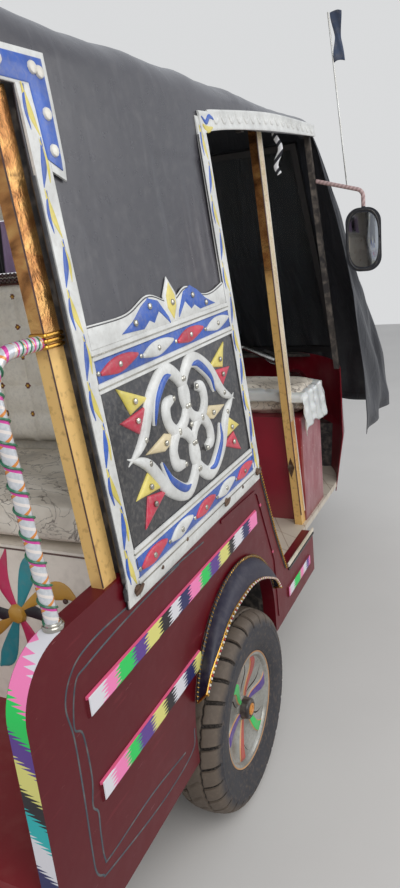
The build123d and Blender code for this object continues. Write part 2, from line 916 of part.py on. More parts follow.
screen_rise = screen_top - cowl_high
screen_run = screen_foot_station - screen_top_station
screen_length = math.hypot(screen_rise, screen_run)
screen_up = (0, screen_run / screen_length, screen_rise / screen_length)
screen_lift = seat_gap + screen_tube / 2 * screen_up[1]
screen_plane = Plane(origin=(0, ahead(screen_foot_station), cowl_high + screen_lift),
                     x_dir=(1, 0, 0), z_dir=(0, -screen_up[2], screen_up[1]))


def screen_face(inset):
    """Windscreen outline on the screen's own plane, drawn in by an inset."""
    with BuildLine() as outline:
        Polyline((-screen_half + inset, inset), (-screen_top_half + inset, screen_length - inset),
                 (screen_top_half - inset, screen_length - inset), (screen_half - inset, inset),
                 close=True)
    make_face(outline.edges())


with BuildPart() as windscreen_frame:
    with BuildSketch(screen_plane):
        screen_face(0)
    extrude(amount=screen_tube / 2, both=True)
    with BuildSketch(screen_plane):
        screen_face(screen_tube)
    extrude(amount=screen_tube, both=True, mode=Mode.SUBTRACT)
export(windscreen_frame.part, "windscreen_frame")

with BuildPart() as windscreen_glass:
    with BuildSketch(screen_plane):
        screen_face(screen_tube + seat_gap)
    extrude(amount=glass_wall / 2, both=True)
export(windscreen_glass.part, "windscreen_glass")


# Rain sheet over the nose
def sheet_solid(inset, back):
    """Loft through the sheet's sections, drawn in by its thickness."""
    with BuildPart() as body:
        for height, half, rear, front in SHEET:
            with BuildSketch(level(height)):
                strip(rear - back, front - inset, half - inset)
        loft(ruled=True)
    return body.part


with BuildPart() as rain_sheet:
    add(sheet_solid(0, 0))
    add(sheet_solid(sheet_wall, 1), mode=Mode.SUBTRACT)
export(rain_sheet.part, "rain_sheet")


# Mirrors and antenna
arm_slope = (mirror_root_height - mirror_arm_height) / (mirror_x - side_x(mirror_root_height))
arm_root_x = side_x(mirror_root_height) - hoop_gap + seat_gap + mirror_arm * arm_slope
mirror_y = ahead(HOOPS[-1][0])
mirror_neck = mirror_height + mirror_half_height - mirror_depth / 2
with BuildPart() as mirrors:
    for side, hand in SIDES:
        with BuildLine() as arm:
            FilletPolyline((side * arm_root_x, mirror_y, mirror_root_height),
                           (side * mirror_x, mirror_y, mirror_arm_height),
                           (side * mirror_x, mirror_y, mirror_neck), radius=mirror_arm_bend)
        with BuildSketch(Plane(origin=arm.line @ 0, z_dir=arm.line % 0)):
            Circle(mirror_arm)
        sweep(path=arm.line)
        with BuildSketch(across(HOOPS[-1][0] - mirror_depth / 2)):
            with Locations((side * mirror_x, mirror_height)):
                RectangleRounded(2 * mirror_half_width, 2 * mirror_half_height,
                                 mirror_half_width * 0.8)
        extrude(amount=mirror_depth, taper=mirror_taper)
export(mirrors.part, "mirrors")

with BuildPart() as antenna:
    arm_drop = (mirror_root_height - mirror_arm_height) / (mirror_x - arm_root_x)
    foot_height = mirror_root_height - (antenna_foot_x - arm_root_x) * arm_drop + mirror_arm
    antenna_lift = seat_gap + antenna_radius * arm_drop
    antenna_foot = (-antenna_foot_x, mirror_y, foot_height + antenna_lift)
    antenna_tip = (-antenna_top_x, mirror_y, antenna_top)
    with BuildLine() as whip:
        Line(antenna_foot, antenna_tip)
    with BuildSketch(Plane(origin=whip.line @ 0, z_dir=whip.line % 0)):
        Circle(antenna_radius)
    sweep(path=whip.line)
export(antenna.part, "antenna")

with BuildPart() as streamer:
    knot_x = antenna_top_x + antenna_radius + seat_gap
    slant = (antenna_foot_x - antenna_top_x) / (antenna_top - foot_height) * streamer_length
    with BuildSketch(Plane(origin=(0, mirror_y - streamer_wall / 2, 0), x_dir=(1, 0, 0),
                           z_dir=(0, -1, 0))):
        with BuildLine():
            Polyline((-knot_x, antenna_top), (-knot_x - streamer_width / 2, antenna_top),
                     (-knot_x - slant - streamer_width, antenna_top - streamer_length),
                     (-knot_x - slant, antenna_top - streamer_length), close=True)
        make_face()
    extrude(amount=-streamer_wall)
export(streamer.part, "streamer")


# Steering
lean = math.radians(rake)
steer_dir = (0, math.sin(lean), math.cos(lean))
steer_front = (0, -math.cos(lean), math.sin(lean))
steer_origin = (0, front_axle_y - fork_offset * steer_front[1],
                tyre_radius - fork_offset * steer_front[2])


def steer_plane(distance):
    """Plane square to the steering axis: local x is world X and local y points rearward."""
    origin = tuple(steer_origin[i] + distance * steer_dir[i] for i in range(3))
    return Plane(origin=origin, x_dir=(1, 0, 0), z_dir=steer_dir)


def steer_point(height):
    """Side-view point of the steering axis at a height."""
    return (steer_origin[1] + (height - steer_origin[2]) * math.tan(lean), height)


def up_axis(height):
    """Distance along the steering axis at which it reaches a height."""
    return (height - steer_origin[2]) / steer_dir[2]


crown_low = tyre_radius + guard_gap + guard_wall + crown_gap
head_bottom = up_axis(head_low)
head_top = up_axis(head_high)
bar_level = up_axis(bar_height)
bar_clamp = 2 * bar_radius + 8

with BuildPart() as fork:
    with BuildSketch(steer_plane(crown_low)):
        with Locations((0, -fork_offset / 2)):
            RectangleRounded(2 * (leg_half + leg_radius), fork_offset + 2 * leg_radius,
                             leg_radius - 1)
    extrude(amount=crown_wall)
    with BuildSketch(steer_plane(crown_low)):
        Circle(stem_radius)
    extrude(amount=bar_level - bar_clamp / 2 - crown_low)
    with BuildSketch(steer_plane(-leg_radius)):
        with Locations((-leg_half, -fork_offset), (leg_half, -fork_offset)):
            Circle(leg_radius)
    extrude(amount=crown_low + leg_radius)
    with BuildSketch(Plane(origin=(-leg_half, front_axle_y, tyre_radius), z_dir=(1, 0, 0))):
        Circle(spindle_radius)
    extrude(amount=2 * leg_half)
    with BuildSketch(steer_plane(head_bottom - seat_gap - race_wall)):
        Circle(stem_radius + head_wall)
    extrude(amount=race_wall)
export(fork.part, "fork")

with BuildPart() as handlebar:
    with BuildSketch(steer_plane(bar_level - bar_clamp / 2)):
        with Locations((0, bar_setback / 2)):
            RectangleRounded(2 * stem_radius + 16, bar_setback + 2 * stem_radius + 12, 10)
    extrude(amount=bar_clamp)
    with BuildLine(steer_plane(bar_level)) as bar_route:
        FilletPolyline((-bar_half, bar_setback + bar_sweep), (-bar_centre_half, bar_setback),
                       (bar_centre_half, bar_setback), (bar_half, bar_setback + bar_sweep),
                       radius=bar_bend)
    with BuildSketch(Plane(origin=bar_route.line @ 0, z_dir=bar_route.line % 0)):
        Circle(bar_radius)
    sweep(path=bar_route.line)
    for bar_end, inward in ((0, 1), (1, -1)):
        with BuildSketch(Plane(origin=bar_route.line @ bar_end,
                               z_dir=(bar_route.line % bar_end) * inward)):
            Circle(grip_radius)
        extrude(amount=grip_length)
export(handlebar.part, "handlebar")

guard_half = leg_half - leg_radius - seat_gap
with BuildPart() as front_mudguard:
    with BuildSketch(Plane(origin=(0, front_axle_y, tyre_radius), x_dir=(1, 0, 0),
                           z_dir=(0, 0, -1))):
        with Locations((0, tyre_radius + guard_gap + guard_wall / 2)):
            Rectangle(2 * guard_half, guard_wall)
    revolve(axis=Axis((0, front_axle_y, tyre_radius), (-1, 0, 0)), revolution_arc=guard_arc)
export(front_mudguard.part, "front_mudguard")


# Chassis and running gear
chassis_top = floor_top - floor_wall
chassis_low = chassis_top - rail_box_height
with BuildPart() as chassis_frame:
    with BuildSketch(level(chassis_top)):
        for side, hand in SIDES:
            with Locations((side * rail_half, (ahead(chassis_rear) + ahead(chassis_front)) / 2)):
                Rectangle(rail_box_width, chassis_front - chassis_rear)
        for station in (chassis_rear + rail_box_width / 2, -spring_half, spring_half,
                        engine_rear - seat_gap - rail_box_width / 2,
                        engine_front + seat_gap + rail_box_width / 2,
                        chassis_front - rail_box_width / 2):
            strip(station - rail_box_width / 2, station + rail_box_width / 2, rail_half)
    extrude(amount=-rail_box_height)
    for side, hand in SIDES:
        for station in (-spring_half + spring_width / 2, spring_half - spring_width / 2):
            with BuildSketch(level(chassis_low)):
                with Locations((side * rail_half, ahead(station))):
                    Rectangle(spring_width, spring_width)
            extrude(amount=spring_top - chassis_low + seat_gap)
    with BuildSketch(side_plane(-neck_half)):
        with BuildLine():
            Polyline((ahead(chassis_front), chassis_top), (ahead(chassis_front), chassis_low),
                     steer_point(head_low + neck_rise), steer_point(head_high - neck_rise),
                     close=True)
        make_face()
    extrude(amount=2 * neck_half)
    with BuildSketch(steer_plane(head_bottom)):
        Circle(stem_radius + head_gap + head_wall)
    extrude(amount=head_top - head_bottom)
    with BuildSketch(steer_plane(head_bottom - bore_margin)):
        Circle(stem_radius + head_gap)
    extrude(amount=head_top - head_bottom + 2 * bore_margin, mode=Mode.SUBTRACT)
export(chassis_frame.part, "chassis_frame")

spring_middle = spring_top - spring_rise
pad_top = spring_middle - spring_leaves * spring_leaf - seat_gap
arc_radius = (spring_half ** 2 + spring_rise ** 2) / (2 * spring_rise)
with BuildPart() as leaf_springs:
    for side, hand in SIDES:
        for leaf in range(spring_leaves):
            half = spring_half * (1 - leaf * leaf_step)
            top = arc_radius + leaf * spring_leaf
            rise = top - math.sqrt(top ** 2 - half ** 2)
            rise_low = top + spring_leaf - math.sqrt((top + spring_leaf) ** 2 - half ** 2)
            middle = spring_middle - leaf * spring_leaf
            with BuildSketch(side_plane(side * (rail_half - spring_width / 2))):
                with BuildLine():
                    upper = ThreePointArc((ahead(half), middle + rise), (ahead(0), middle),
                                          (ahead(-half), middle + rise))
                    lower = ThreePointArc((ahead(half), middle - spring_leaf + rise_low),
                                          (ahead(0), middle - spring_leaf),
                                          (ahead(-half), middle - spring_leaf + rise_low))
                    Line(upper @ 0, lower @ 0)
                    Line(upper @ 1, lower @ 1)
                make_face()
            extrude(amount=side * spring_width)
export(leaf_springs.part, "leaf_springs")

hub_end = track_half + rim_width / 2 - disc_inset + rear_cap_reach - cap_wall - spindle_room
with BuildPart() as rear_axle:
    with BuildSketch(Plane(origin=(-axle_half, rear_axle_y, tyre_radius), z_dir=(1, 0, 0))):
        Circle(axle_tube)
    extrude(amount=2 * axle_half)
    with BuildSketch(Plane(origin=(-diff_half, rear_axle_y, tyre_radius), z_dir=(1, 0, 0))):
        Circle(diff_radius)
    extrude(amount=2 * diff_half)
    for side, hand in SIDES:
        drum_start = side * (axle_half - drum_width)
        with BuildSketch(Plane(origin=(drum_start, rear_axle_y, tyre_radius),
                               x_dir=(0, 1, 0), z_dir=(side, 0, 0))):
            Circle(drum_radius)
        extrude(amount=drum_width)
        with BuildSketch(Plane(origin=(drum_start, rear_axle_y, tyre_radius),
                               x_dir=(0, 1, 0), z_dir=(side, 0, 0))):
            Circle(spindle_radius)
        extrude(amount=hub_end - axle_half + drum_width)
        with BuildSketch(level(pad_top)):
            with Locations((side * rail_half, rear_axle_y)):
                Rectangle(spring_width, 2 * axle_tube)
        extrude(amount=tyre_radius - pad_top)
export(rear_axle.part, "rear_axle")

with BuildPart() as engine_block:
    with BuildSketch(level(engine_low)):
        with Locations((0, (ahead(engine_rear) + ahead(engine_front)) / 2)):
            RectangleRounded(2 * engine_half, engine_front - engine_rear, 20)
    extrude(amount=engine_high - engine_low)
export(engine_block.part, "engine_block")

with BuildPart() as propeller_shaft:
    with BuildSketch(Plane(origin=(0, ahead(diff_radius + seat_gap), tyre_radius),
                           x_dir=(1, 0, 0), z_dir=(0, -1, 0))):
        Circle(shaft_radius)
    extrude(amount=engine_rear - diff_radius - 2 * seat_gap)
export(propeller_shaft.part, "propeller_shaft")

with BuildPart() as exhaust:
    with BuildLine() as pipe:
        FilletPolyline((engine_half + seat_gap, ahead(exhaust_port), exhaust_height),
                       (exhaust_x, ahead(exhaust_port), exhaust_height),
                       (exhaust_x, ahead(exhaust_end), exhaust_height), radius=exhaust_bend)
    with BuildSketch(Plane(origin=pipe.line @ 0, z_dir=pipe.line % 0)):
        Circle(exhaust_pipe)
    sweep(path=pipe.line)
    with BuildSketch(across(silencer_rear)):
        with Locations((exhaust_x, exhaust_height)):
            Circle(silencer_radius)
    extrude(amount=silencer_length)
export(exhaust.part, "exhaust")
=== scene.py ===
"""Looks of a three-wheeled auto rickshaw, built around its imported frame.

Lengths are in metres. The front faces -Y, +Z is up and the vehicle's right side is -X. A station
is a distance ahead of the rear axle.
"""

import logging
import math
from collections.abc import Sequence
from dataclasses import dataclass, field
from enum import Enum, IntEnum
from functools import lru_cache

import bmesh
import bpy
import numpy as np
from mathutils import Matrix, Vector

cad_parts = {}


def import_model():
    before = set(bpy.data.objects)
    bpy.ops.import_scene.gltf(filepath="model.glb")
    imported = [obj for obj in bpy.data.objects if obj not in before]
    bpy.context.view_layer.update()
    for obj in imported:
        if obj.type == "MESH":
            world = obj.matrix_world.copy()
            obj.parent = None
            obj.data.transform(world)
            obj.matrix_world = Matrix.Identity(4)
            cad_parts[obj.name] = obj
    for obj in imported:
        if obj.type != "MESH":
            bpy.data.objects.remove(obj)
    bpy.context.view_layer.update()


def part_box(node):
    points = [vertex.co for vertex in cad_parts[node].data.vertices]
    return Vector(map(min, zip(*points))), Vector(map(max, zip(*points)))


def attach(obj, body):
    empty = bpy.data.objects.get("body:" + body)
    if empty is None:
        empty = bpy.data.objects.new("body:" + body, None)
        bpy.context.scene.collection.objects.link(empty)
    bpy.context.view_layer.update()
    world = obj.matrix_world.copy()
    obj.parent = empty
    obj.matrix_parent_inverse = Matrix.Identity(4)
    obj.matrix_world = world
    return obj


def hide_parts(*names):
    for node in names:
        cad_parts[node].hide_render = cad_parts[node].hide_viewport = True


LOG = logging.getLogger("rickshaw")
Array = np.ndarray
Paint = bpy.types.Material
Piece = bpy.types.Object
Socket = bpy.types.NodeSocket
Colour = tuple[float, float, float]
Screen = tuple[int, int, int]
Point = tuple[float, float, float]
Flat = tuple[float, float]

REAR_AXLE_Y = 0.69525
FRONT_AXLE_Y = -1.25475
AXLE_HEIGHT = 0.286
HALF_WIDTH = 0.64
SKIN = 0.6463
BELT = 0.99
LEAN = math.radians(5.0)
SIDES = ((-1, "right"), (1, "left"))


def ahead(station: float | Array) -> float | Array:
    """Y of a station, or of each of an array of stations."""
    return REAR_AXLE_Y - station


def tone(red: int, green: int, blue: int) -> Colour:
    """Linear colour of a screen colour given from 0 to 255.

    Args:
        red: Red share.
        green: Green share.
        blue: Blue share.

    Returns:
        The same colour as linear light, from 0 to 1.
    """
    shares = np.array([red, green, blue]) / 255.0
    linear = np.where(shares <= 0.04045, shares / 12.92, ((shares + 0.055) / 1.055) ** 2.4)
    return tuple(float(share) for share in linear)


class Graph:
    """A short way to write a material's nodes."""

    def __init__(self, name: str) -> None:
        """Start a material with its shader, object place and UV sockets."""
        self.material = bpy.data.materials.new(name)
        self.material.use_nodes = True
        self.tree = self.material.node_tree
        self.shader = self.tree.nodes["Principled BSDF"]
        coords = self.tree.nodes.new("ShaderNodeTexCoord")
        self.place = coords.outputs["Object"]
        self.uv = coords.outputs["UV"]

    def feed(self, socket: Socket, value: object) -> None:
        """Link a socket to another or set its value.

        Args:
            socket: The input.
            value: A socket, a number, a vector or a colour.
        """
        if isinstance(value, Socket):
            self.tree.links.new(value, socket)
        elif isinstance(value, tuple) and socket.type == "RGBA":
            socket.default_value = (*value, 1.0)
        else:
            socket.default_value = value

    def node(self, kind: str, inputs: dict[object, object], out: object = 0,
             **settings: object) -> Socket:
        """Add a node.

        Args:
            kind: Its type, without the ShaderNode prefix.
            inputs: Values by input name or number.
            out: The output wanted.
            settings: Properties of the node.

        Returns:
            The output socket.
        """
        made = self.tree.nodes.new("ShaderNode" + kind)
        for key, value in settings.items():
            setattr(made, key, value)
        for key, value in inputs.items():
            self.feed(made.inputs[key], value)
        return made.outputs[out]

    def math(self, operation: str, first: object, second: object = 0.0,
             third: object = 0.0) -> Socket:
        """Add a Math node and give its result."""
        return self.node("Math", {0: first, 1: second, 2: third}, operation=operation)

    def times(self, first: object, second: object) -> Socket:
        """Product of two numbers."""
        return self.math("MULTIPLY", first, second)

    def slope(self, value: object, factor: object, start: object) -> Socket:
        """A factor times a value, plus a start."""
        return self.math("MULTIPLY_ADD", value, factor, start)

    def far(self, value: object, middle: float) -> Socket:
        """Distance of a number from a middle."""
        return self.math("ABSOLUTE", self.math("SUBTRACT", value, middle))

    def axes(self, source: Socket) -> tuple[Socket, ...]:
        """Split a vector socket into its three numbers."""
        made = self.tree.nodes.new("ShaderNodeSeparateXYZ")
        self.feed(made.inputs[0], source)
        return tuple(made.outputs)

    def join(self, x: object, y: object, z: object) -> Socket:
        """Make a vector of three numbers."""
        return self.node("CombineXYZ", {0: x, 1: y, 2: z})

    def noise(self, scale: float, detail: float = 3.0, source: object = None,
              distortion: float = 0.0) -> Socket:
        """Add smooth noise, from 0 to 1."""
        return self.node("TexNoise", {"Vector": source or self.place, "Scale": scale,
                                      "Detail": detail, "Distortion": distortion})

    def ramp(self, share: object, stops: list[tuple[float, object]],
             constant: bool = False) -> Socket:
        """Add a colour ramp.

        Args:
            share: Where to read it, from 0 to 1.
            stops: Places with a colour or a grey number.
            constant: Whether colours change in steps.

        Returns:
            The colour socket.
        """
        made = self.tree.nodes.new("ShaderNodeValToRGB")
        band = made.color_ramp
        band.interpolation = "CONSTANT" if constant else "LINEAR"
        while len(band.elements) < len(stops):
            band.elements.new(1.0)
        for element, (place, colour) in zip(band.elements, stops):
            element.position = place
            grey = colour if isinstance(colour, tuple) else (colour,) * 3
            element.color = (*grey, 1.0)
        self.feed(made.inputs[0], share)
        return made.outputs[0]

    def mix(self, share: object, first: object, second: object) -> Socket:
        """Mix two colours by a share."""
        return self.node("MixRGB", {0: share, 1: first, 2: second})

    def between(self, value: object, low: float, high: float) -> Socket:
        """1 where a value lies between two numbers, otherwise 0."""
        return self.times(self.math("GREATER_THAN", value, low),
                          self.math("LESS_THAN", value, high))

    def stretch(self, value: object, low: float, high: float) -> Socket:
        """Share of the way from a low to a high number, kept from 0 to 1."""
        return self.node("MapRange", {0: value, 1: low, 2: high, 3: 0.0, 4: 1.0})

    def bump(self, height: object, distance: float, strength: float = 1.0,
             under: object = None) -> Socket:
        """Turn a height into a normal, over another one when it is given."""
        inputs = {"Height": height, "Distance": distance, "Strength": strength}
        if under is not None:
            inputs["Normal"] = under
        return self.node("Bump", inputs)

    def finish(self, **inputs: object) -> Paint:
        """Set the shader's inputs, with spaces written as underscores, and give the material."""
        for key, value in inputs.items():
            self.feed(self.shader.inputs[key.replace("_", " ")], value)
        return self.material


@dataclass(frozen=True)
class Finish:
    """A finish of one colour that drifts to a second, with grain, dust and ripples."""

    name: str
    colour: Screen
    second: Screen
    roughness: float = 0.5
    metallic: float = 0.0
    coat: float = 0.0
    sheen: float = 0.0
    patch: float = 6.0
    grain: float = 500.0
    depth: float = 0.0002
    ripple: float = 0.0
    ripple_scale: float = 30.0
    dust: float = 0.2
    dust_colour: Colour = (0.30, 0.25, 0.20)

    def make(self) -> Paint:
        """Build the finish once and give it again afterwards."""
        return build_finish(self)


@lru_cache(maxsize=None)
def build_finish(spec: Finish) -> Paint:
    """Material of a plain finish.

    Args:
        spec: Its numbers.

    Returns:
        The material: two tones by wide noise, dust by finer noise, grain and ripples as bump.
    """
    graph = Graph(spec.name)
    drift = graph.ramp(graph.noise(spec.patch, 5.0), [(0.35, 0.0), (0.68, 1.0)])
    colour = graph.mix(drift, tone(*spec.colour), tone(*spec.second))
    specks = graph.noise(spec.patch * 7.0, 8.0, distortion=0.4)
    grime = graph.times(graph.ramp(specks, [(0.45, 0.0), (0.75, 1.0)]), spec.dust)
    colour = graph.mix(grime, colour, spec.dust_colour)
    rough = graph.slope(specks, 0.25, spec.roughness - 0.1)
    normal = graph.bump(graph.noise(spec.grain, 2.0), spec.depth, 0.6)
    if spec.ripple > 0.0:
        normal = graph.bump(graph.noise(spec.ripple_scale, 3.0), spec.ripple, 0.8, normal)
    return graph.finish(Base_Color=colour, Roughness=rough, Metallic=spec.metallic,
                        Coat_Weight=spec.coat, Coat_Roughness=0.12,
                        Sheen_Weight=spec.sheen, Normal=normal)


def vinyl(name: str, colour: Screen, second: Screen, roughness: float = 0.36) -> Finish:
    """Glossy vinyl that drifts from one colour to a second, with fine ripples."""
    return Finish(name, colour, second, roughness, coat=0.25, patch=14.0, grain=900.0,
                  depth=0.00015, ripple=0.0012, ripple_scale=45.0, dust=0.25,
                  dust_colour=(0.33, 0.30, 0.26))


WHITE = vinyl("white_vinyl", (222, 222, 218), (196, 196, 192))
BLUE = vinyl("blue_vinyl", (40, 92, 186), (28, 70, 150))
RED = vinyl("red_vinyl", (206, 44, 72), (170, 30, 58))
YELLOW = vinyl("yellow_vinyl", (226, 208, 108), (198, 182, 70))
CREAM = vinyl("cream_vinyl", (222, 205, 165), (190, 172, 132))
BLACK = vinyl("black_vinyl", (48, 48, 52), (30, 30, 34), 0.30)
SILVER = Finish("silver_studs", (215, 212, 200), (150, 146, 138), 0.22, metallic=1.0,
                dust=0.1)
RUSTY = Finish("rusty_steel", (120, 92, 72), (80, 62, 52), 0.55, metallic=0.6, dust=0.4)
GOLD = Finish("gold_trim", (226, 178, 86), (176, 126, 48), 0.24, metallic=1.0, dust=0.1)
BEAD_WHITE = Finish("bead_white", (230, 226, 214), (204, 198, 186), 0.3, coat=0.4)
BEAD_RED = Finish("bead_red", (176, 24, 44), (120, 16, 30), 0.3, coat=0.4)
PIPING = Finish("black_piping", (26, 26, 30), (44, 44, 48), 0.4, coat=0.2)
PINSTRIPE = Finish("pinstripe_paint", (70, 84, 92), (48, 58, 66), 0.5, dust=0.35)


def smooth_line(points: Array, steps: int) -> Array:
    """Smooth line through points, as a cubic between each two of them.

    Its slope at a point is half the step from the point before to the one after.

    Args:
        points: Points in order, with any number of columns.
        steps: Steps between two points.

    Returns:
        The line's points, with the last point at its end.
    """
    padded = np.vstack([2 * points[:1] - points[1:2], points, 2 * points[-1:] - points[-2:-1]])
    t = np.linspace(0.0, 1.0, steps, endpoint=False)[None, :, None]
    a, b, c, d = (padded[i:len(padded) - 3 + i, None, :] for i in range(4))
    line = 0.5 * (2 * b + (c - a) * t + (2 * a - 5 * b + 4 * c - d) * t ** 2
                  + (3 * b - a - 3 * c + d) * t ** 3)
    return np.vstack([line.reshape(-1, points.shape[1]), points[-1:]])


def unit(vectors: Array) -> Array:
    """Vectors of length 1 along the last axis."""
    return vectors / np.maximum(np.linalg.norm(vectors, axis=-1, keepdims=True), 1e-9)


def step_up(value: Array, low: float, high: float) -> Array:
    """Smooth step from 0 at a low number to 1 at a high one."""
    share = np.clip((value - low) / (high - low), 0.0, 1.0)
    return share * share * (3.0 - 2.0 * share)


def even(line: Array, pitch: float) -> Array:
    """The same line with its points a pitch apart."""
    run = along(line)
    return sampled(line, run, np.linspace(0.0, run[-1], max(2, int(round(run[-1] / pitch)) + 1)))


def sampled(table: Array, run: Array, where: Array) -> Array:
    """Rows of a table read at new places, where each of its rows has a place in the run."""
    return np.column_stack([np.interp(where, run, column) for column in table.T])


def turns(count: int) -> Array:
    """Angles of one turn in equal steps."""
    return np.linspace(0.0, 2 * math.pi, count, endpoint=False)


def joined(*axes: object) -> Array:
    """Points with these coordinates, which are numbers or arrays of matching shapes."""
    return np.stack(np.broadcast_arrays(*axes), -1)


def rounded(corners: list[Point], reach: float, steps: int = 9) -> Array:
    """Line through corners, each inner corner rounded by a parabola of a given reach."""
    table = np.array(corners, float)
    parts = [table[:1]]
    for before, corner, after in zip(table, table[1:], table[2:]):
        parts.append(parabola(corner + unit(before - corner) * reach, corner,
                              corner + unit(after - corner) * reach, steps))
    return np.vstack(parts + [table[-1:]])


def parabola(start: Array, corner: Array, end: Array, steps: int) -> Array:
    """Points of the parabola from a start to an end that leaves both towards a corner."""
    share = np.linspace(0.0, 1.0, steps)[:, None]
    return (1 - share) ** 2 * start + 2 * share * (1 - share) * corner + share ** 2 * end


def coil(path: Array, radius: float, pitch: float, steps: int = 12) -> Array:
    """Helix round a path: a point at a radius that turns once each pitch run along it."""
    line = even(path, pitch / steps)
    ahead_of = unit(np.gradient(line, axis=0))
    across = unit(np.cross(ahead_of, np.array([0.3, 1.0, 0.2])))
    above = np.cross(across, ahead_of)
    angle = (along(line) / pitch * 2 * math.pi)[:, None]
    return line + radius * (np.cos(angle) * across + np.sin(angle) * above)


def along(points: Array) -> Array:
    """Distance run from the first point to each point of a line."""
    return np.concatenate([[0.0], np.cumsum(np.linalg.norm(np.diff(points, axis=0), axis=1))])


@dataclass
class Batch:
    """Points and faces of one piece, gathered before they go into a mesh."""

    points: list[Array] = field(default_factory=list)
    corners: list[Array] = field(default_factory=list)
    sizes: list[Array] = field(default_factory=list)
    finishes: list[Array] = field(default_factory=list)
    marks: list[Array] = field(default_factory=list)
    count: int = 0

    def faces(self, points: Array, faces: list[Array], finish: object,
              marks: list[Array] | None = None) -> None:
        """Add points and their faces.

        Args:
            points: Points, one row each.
            faces: Arrays of faces, one for each number of corners.
            finish: Number of the finish, or one for each face of the first group.
            marks: UV of every corner, in the same layout as the faces.
        """
        self.points.append(points.reshape(-1, 3))
        for number, group in enumerate(faces):
            self.corners.append(group.reshape(-1) + self.count)
            self.sizes.append(np.full(len(group), group.shape[1]))
            paint = np.asarray(finish).reshape(-1)
            paint = paint if len(paint) == len(group) else paint[:1]
            self.finishes.append(np.broadcast_to(paint, (len(group),)))
            blank = np.zeros((group.size, 2))
            self.marks.append(blank if marks is None else marks[number].reshape(-1, 2))
        self.count += points.reshape(-1, 3).shape[0]

    def grid(self, points: Array, finish: object = 0, round_u: bool = False,
             round_v: bool = False, caps: bool = False, u: Array | None = None,
             v: Array | None = None) -> None:
        """Add a grid of points as a surface of two parameters.

        Args:
            points: Points by u, v and axis.
            finish: Number of the finish, or one for each face in the grid's order.
            round_u: Whether the surface closes on itself along u.
            round_v: Whether it closes along v.
            caps: Whether its two ends along u are closed by a face.
            u: UV values along u, one more than the points where it is round.
            v: UV values along v.
        """
        n, m = points.shape[:2]
        i, j = np.meshgrid(np.arange(n if round_u else n - 1),
                           np.arange(m if round_v else m - 1), indexing="ij")
        p, q = (i + 1) % n, (j + 1) % m
        quads = np.stack([i * m + j, p * m + j, p * m + q, i * m + q], -1).reshape(-1, 4)
        u = np.linspace(0.0, 1.0, n + 1 if round_u else n) if u is None else u
        v = np.linspace(0.0, 1.0, m + 1 if round_v else m) if v is None else v
        marks = np.stack([np.stack([u[i + a], v[j + b]], -1)
                          for a, b in ((0, 0), (1, 0), (1, 1), (0, 1))], -2)
        groups, notes = [quads], [marks.reshape(-1, 2)]
        if caps:
            ends = np.stack([np.arange(m)[::-1], (n - 1) * m + np.arange(m)])
            groups.append(ends)
            notes.append(np.zeros((ends.size, 2)))
        self.faces(points, groups, finish, notes)

    def slab(self, top: Array, bottom: Array, finish: int = 0,
             u: Array | None = None, v: Array | None = None) -> None:
        """Add a closed sheet: a top grid, a bottom grid of the same size and the walls between.

        Args:
            top: Points of the top by u, v and axis.
            bottom: Points of the bottom.
            finish: Number of the finish.
            u: UV values along u.
            v: UV values along v, which the bottom takes too.
        """
        n, m = top.shape[:2]
        ring = np.concatenate([top, bottom[:, ::-1]], axis=1)
        u = np.linspace(0.0, 1.0, n) if u is None else u
        v = np.linspace(0.0, 1.0, m) if v is None else v
        self.grid(ring, finish, round_v=True, u=u, v=np.concatenate([v, v[::-1], v[:1]]))
        j = np.arange(m - 1)
        shift = self.count - n * 2 * m
        for row, turn in ((0, False), (n - 1, True)):
            start = row * 2 * m
            quads = np.stack([start + j, start + j + 1, start + 2 * m - 2 - j,
                              start + 2 * m - 1 - j], -1)
            quads = quads[:, ::-1] if turn else quads
            self.corners.append(quads.reshape(-1) + shift)
            self.sizes.append(np.full(len(quads), 4))
            self.finishes.append(np.full(len(quads), finish))
            self.marks.append(np.zeros((quads.size, 2)))

    def solid(self, points: Array, finish: object = 0, **marks: Array) -> None:
        """Add a closed body: a grid that is round along v, with both ends capped."""
        self.grid(points, finish, round_v=True, caps=True, **marks)

    def tube(self, path: Array, radius: object, sides: int = 10, finish: int = 0,
             squash: float = 1.0, up: Point = (0.0, 0.0, 1.0)) -> None:
        """Add a closed tube: a ring carried along a path, square to it.

        Args:
            path: Points of the middle line.
            radius: Its radius, one number or one for each point.
            sides: Points round the ring.
            finish: Number of the finish.
            squash: Height of the ring over its width.
            up: Direction that the ring's height leans to.
        """
        ahead_of = unit(np.gradient(path, axis=0))
        across = unit(np.cross(ahead_of, np.array(up) + 1e-6))
        above = np.cross(across, ahead_of)
        angle = turns(sides)[None, :, None]
        ring = np.cos(angle) * across[:, None] + squash * np.sin(angle) * above[:, None]
        size = np.broadcast_to(np.asarray(radius, float), len(path))[:, None, None]
        self.solid(path[:, None] + ring * size, finish, u=along(path),
                   v=np.linspace(0.0, 1.0, sides + 1))

    def turned(self, profile: list[Flat], place: Point, side: int, steps: int = 48,
               finish: int = 0, closed: bool = False) -> None:
        """Add a turned body: a profile of reach along the axle and radius, turned round it.

        Args:
            profile: Points of reach and radius.
            place: Middle of the axle.
            side: -1 or 1, the way that the reach runs along X.
            steps: Steps round the axle.
            finish: Number of the finish.
            closed: Whether the profile is a closed loop, otherwise its two ends are capped.
        """
        reach, radius = np.array(profile, float).T[..., None]
        self.grid(round_axle(place, side, reach, radius, turns(steps)), finish,
                  round_u=closed, round_v=True, caps=not closed)

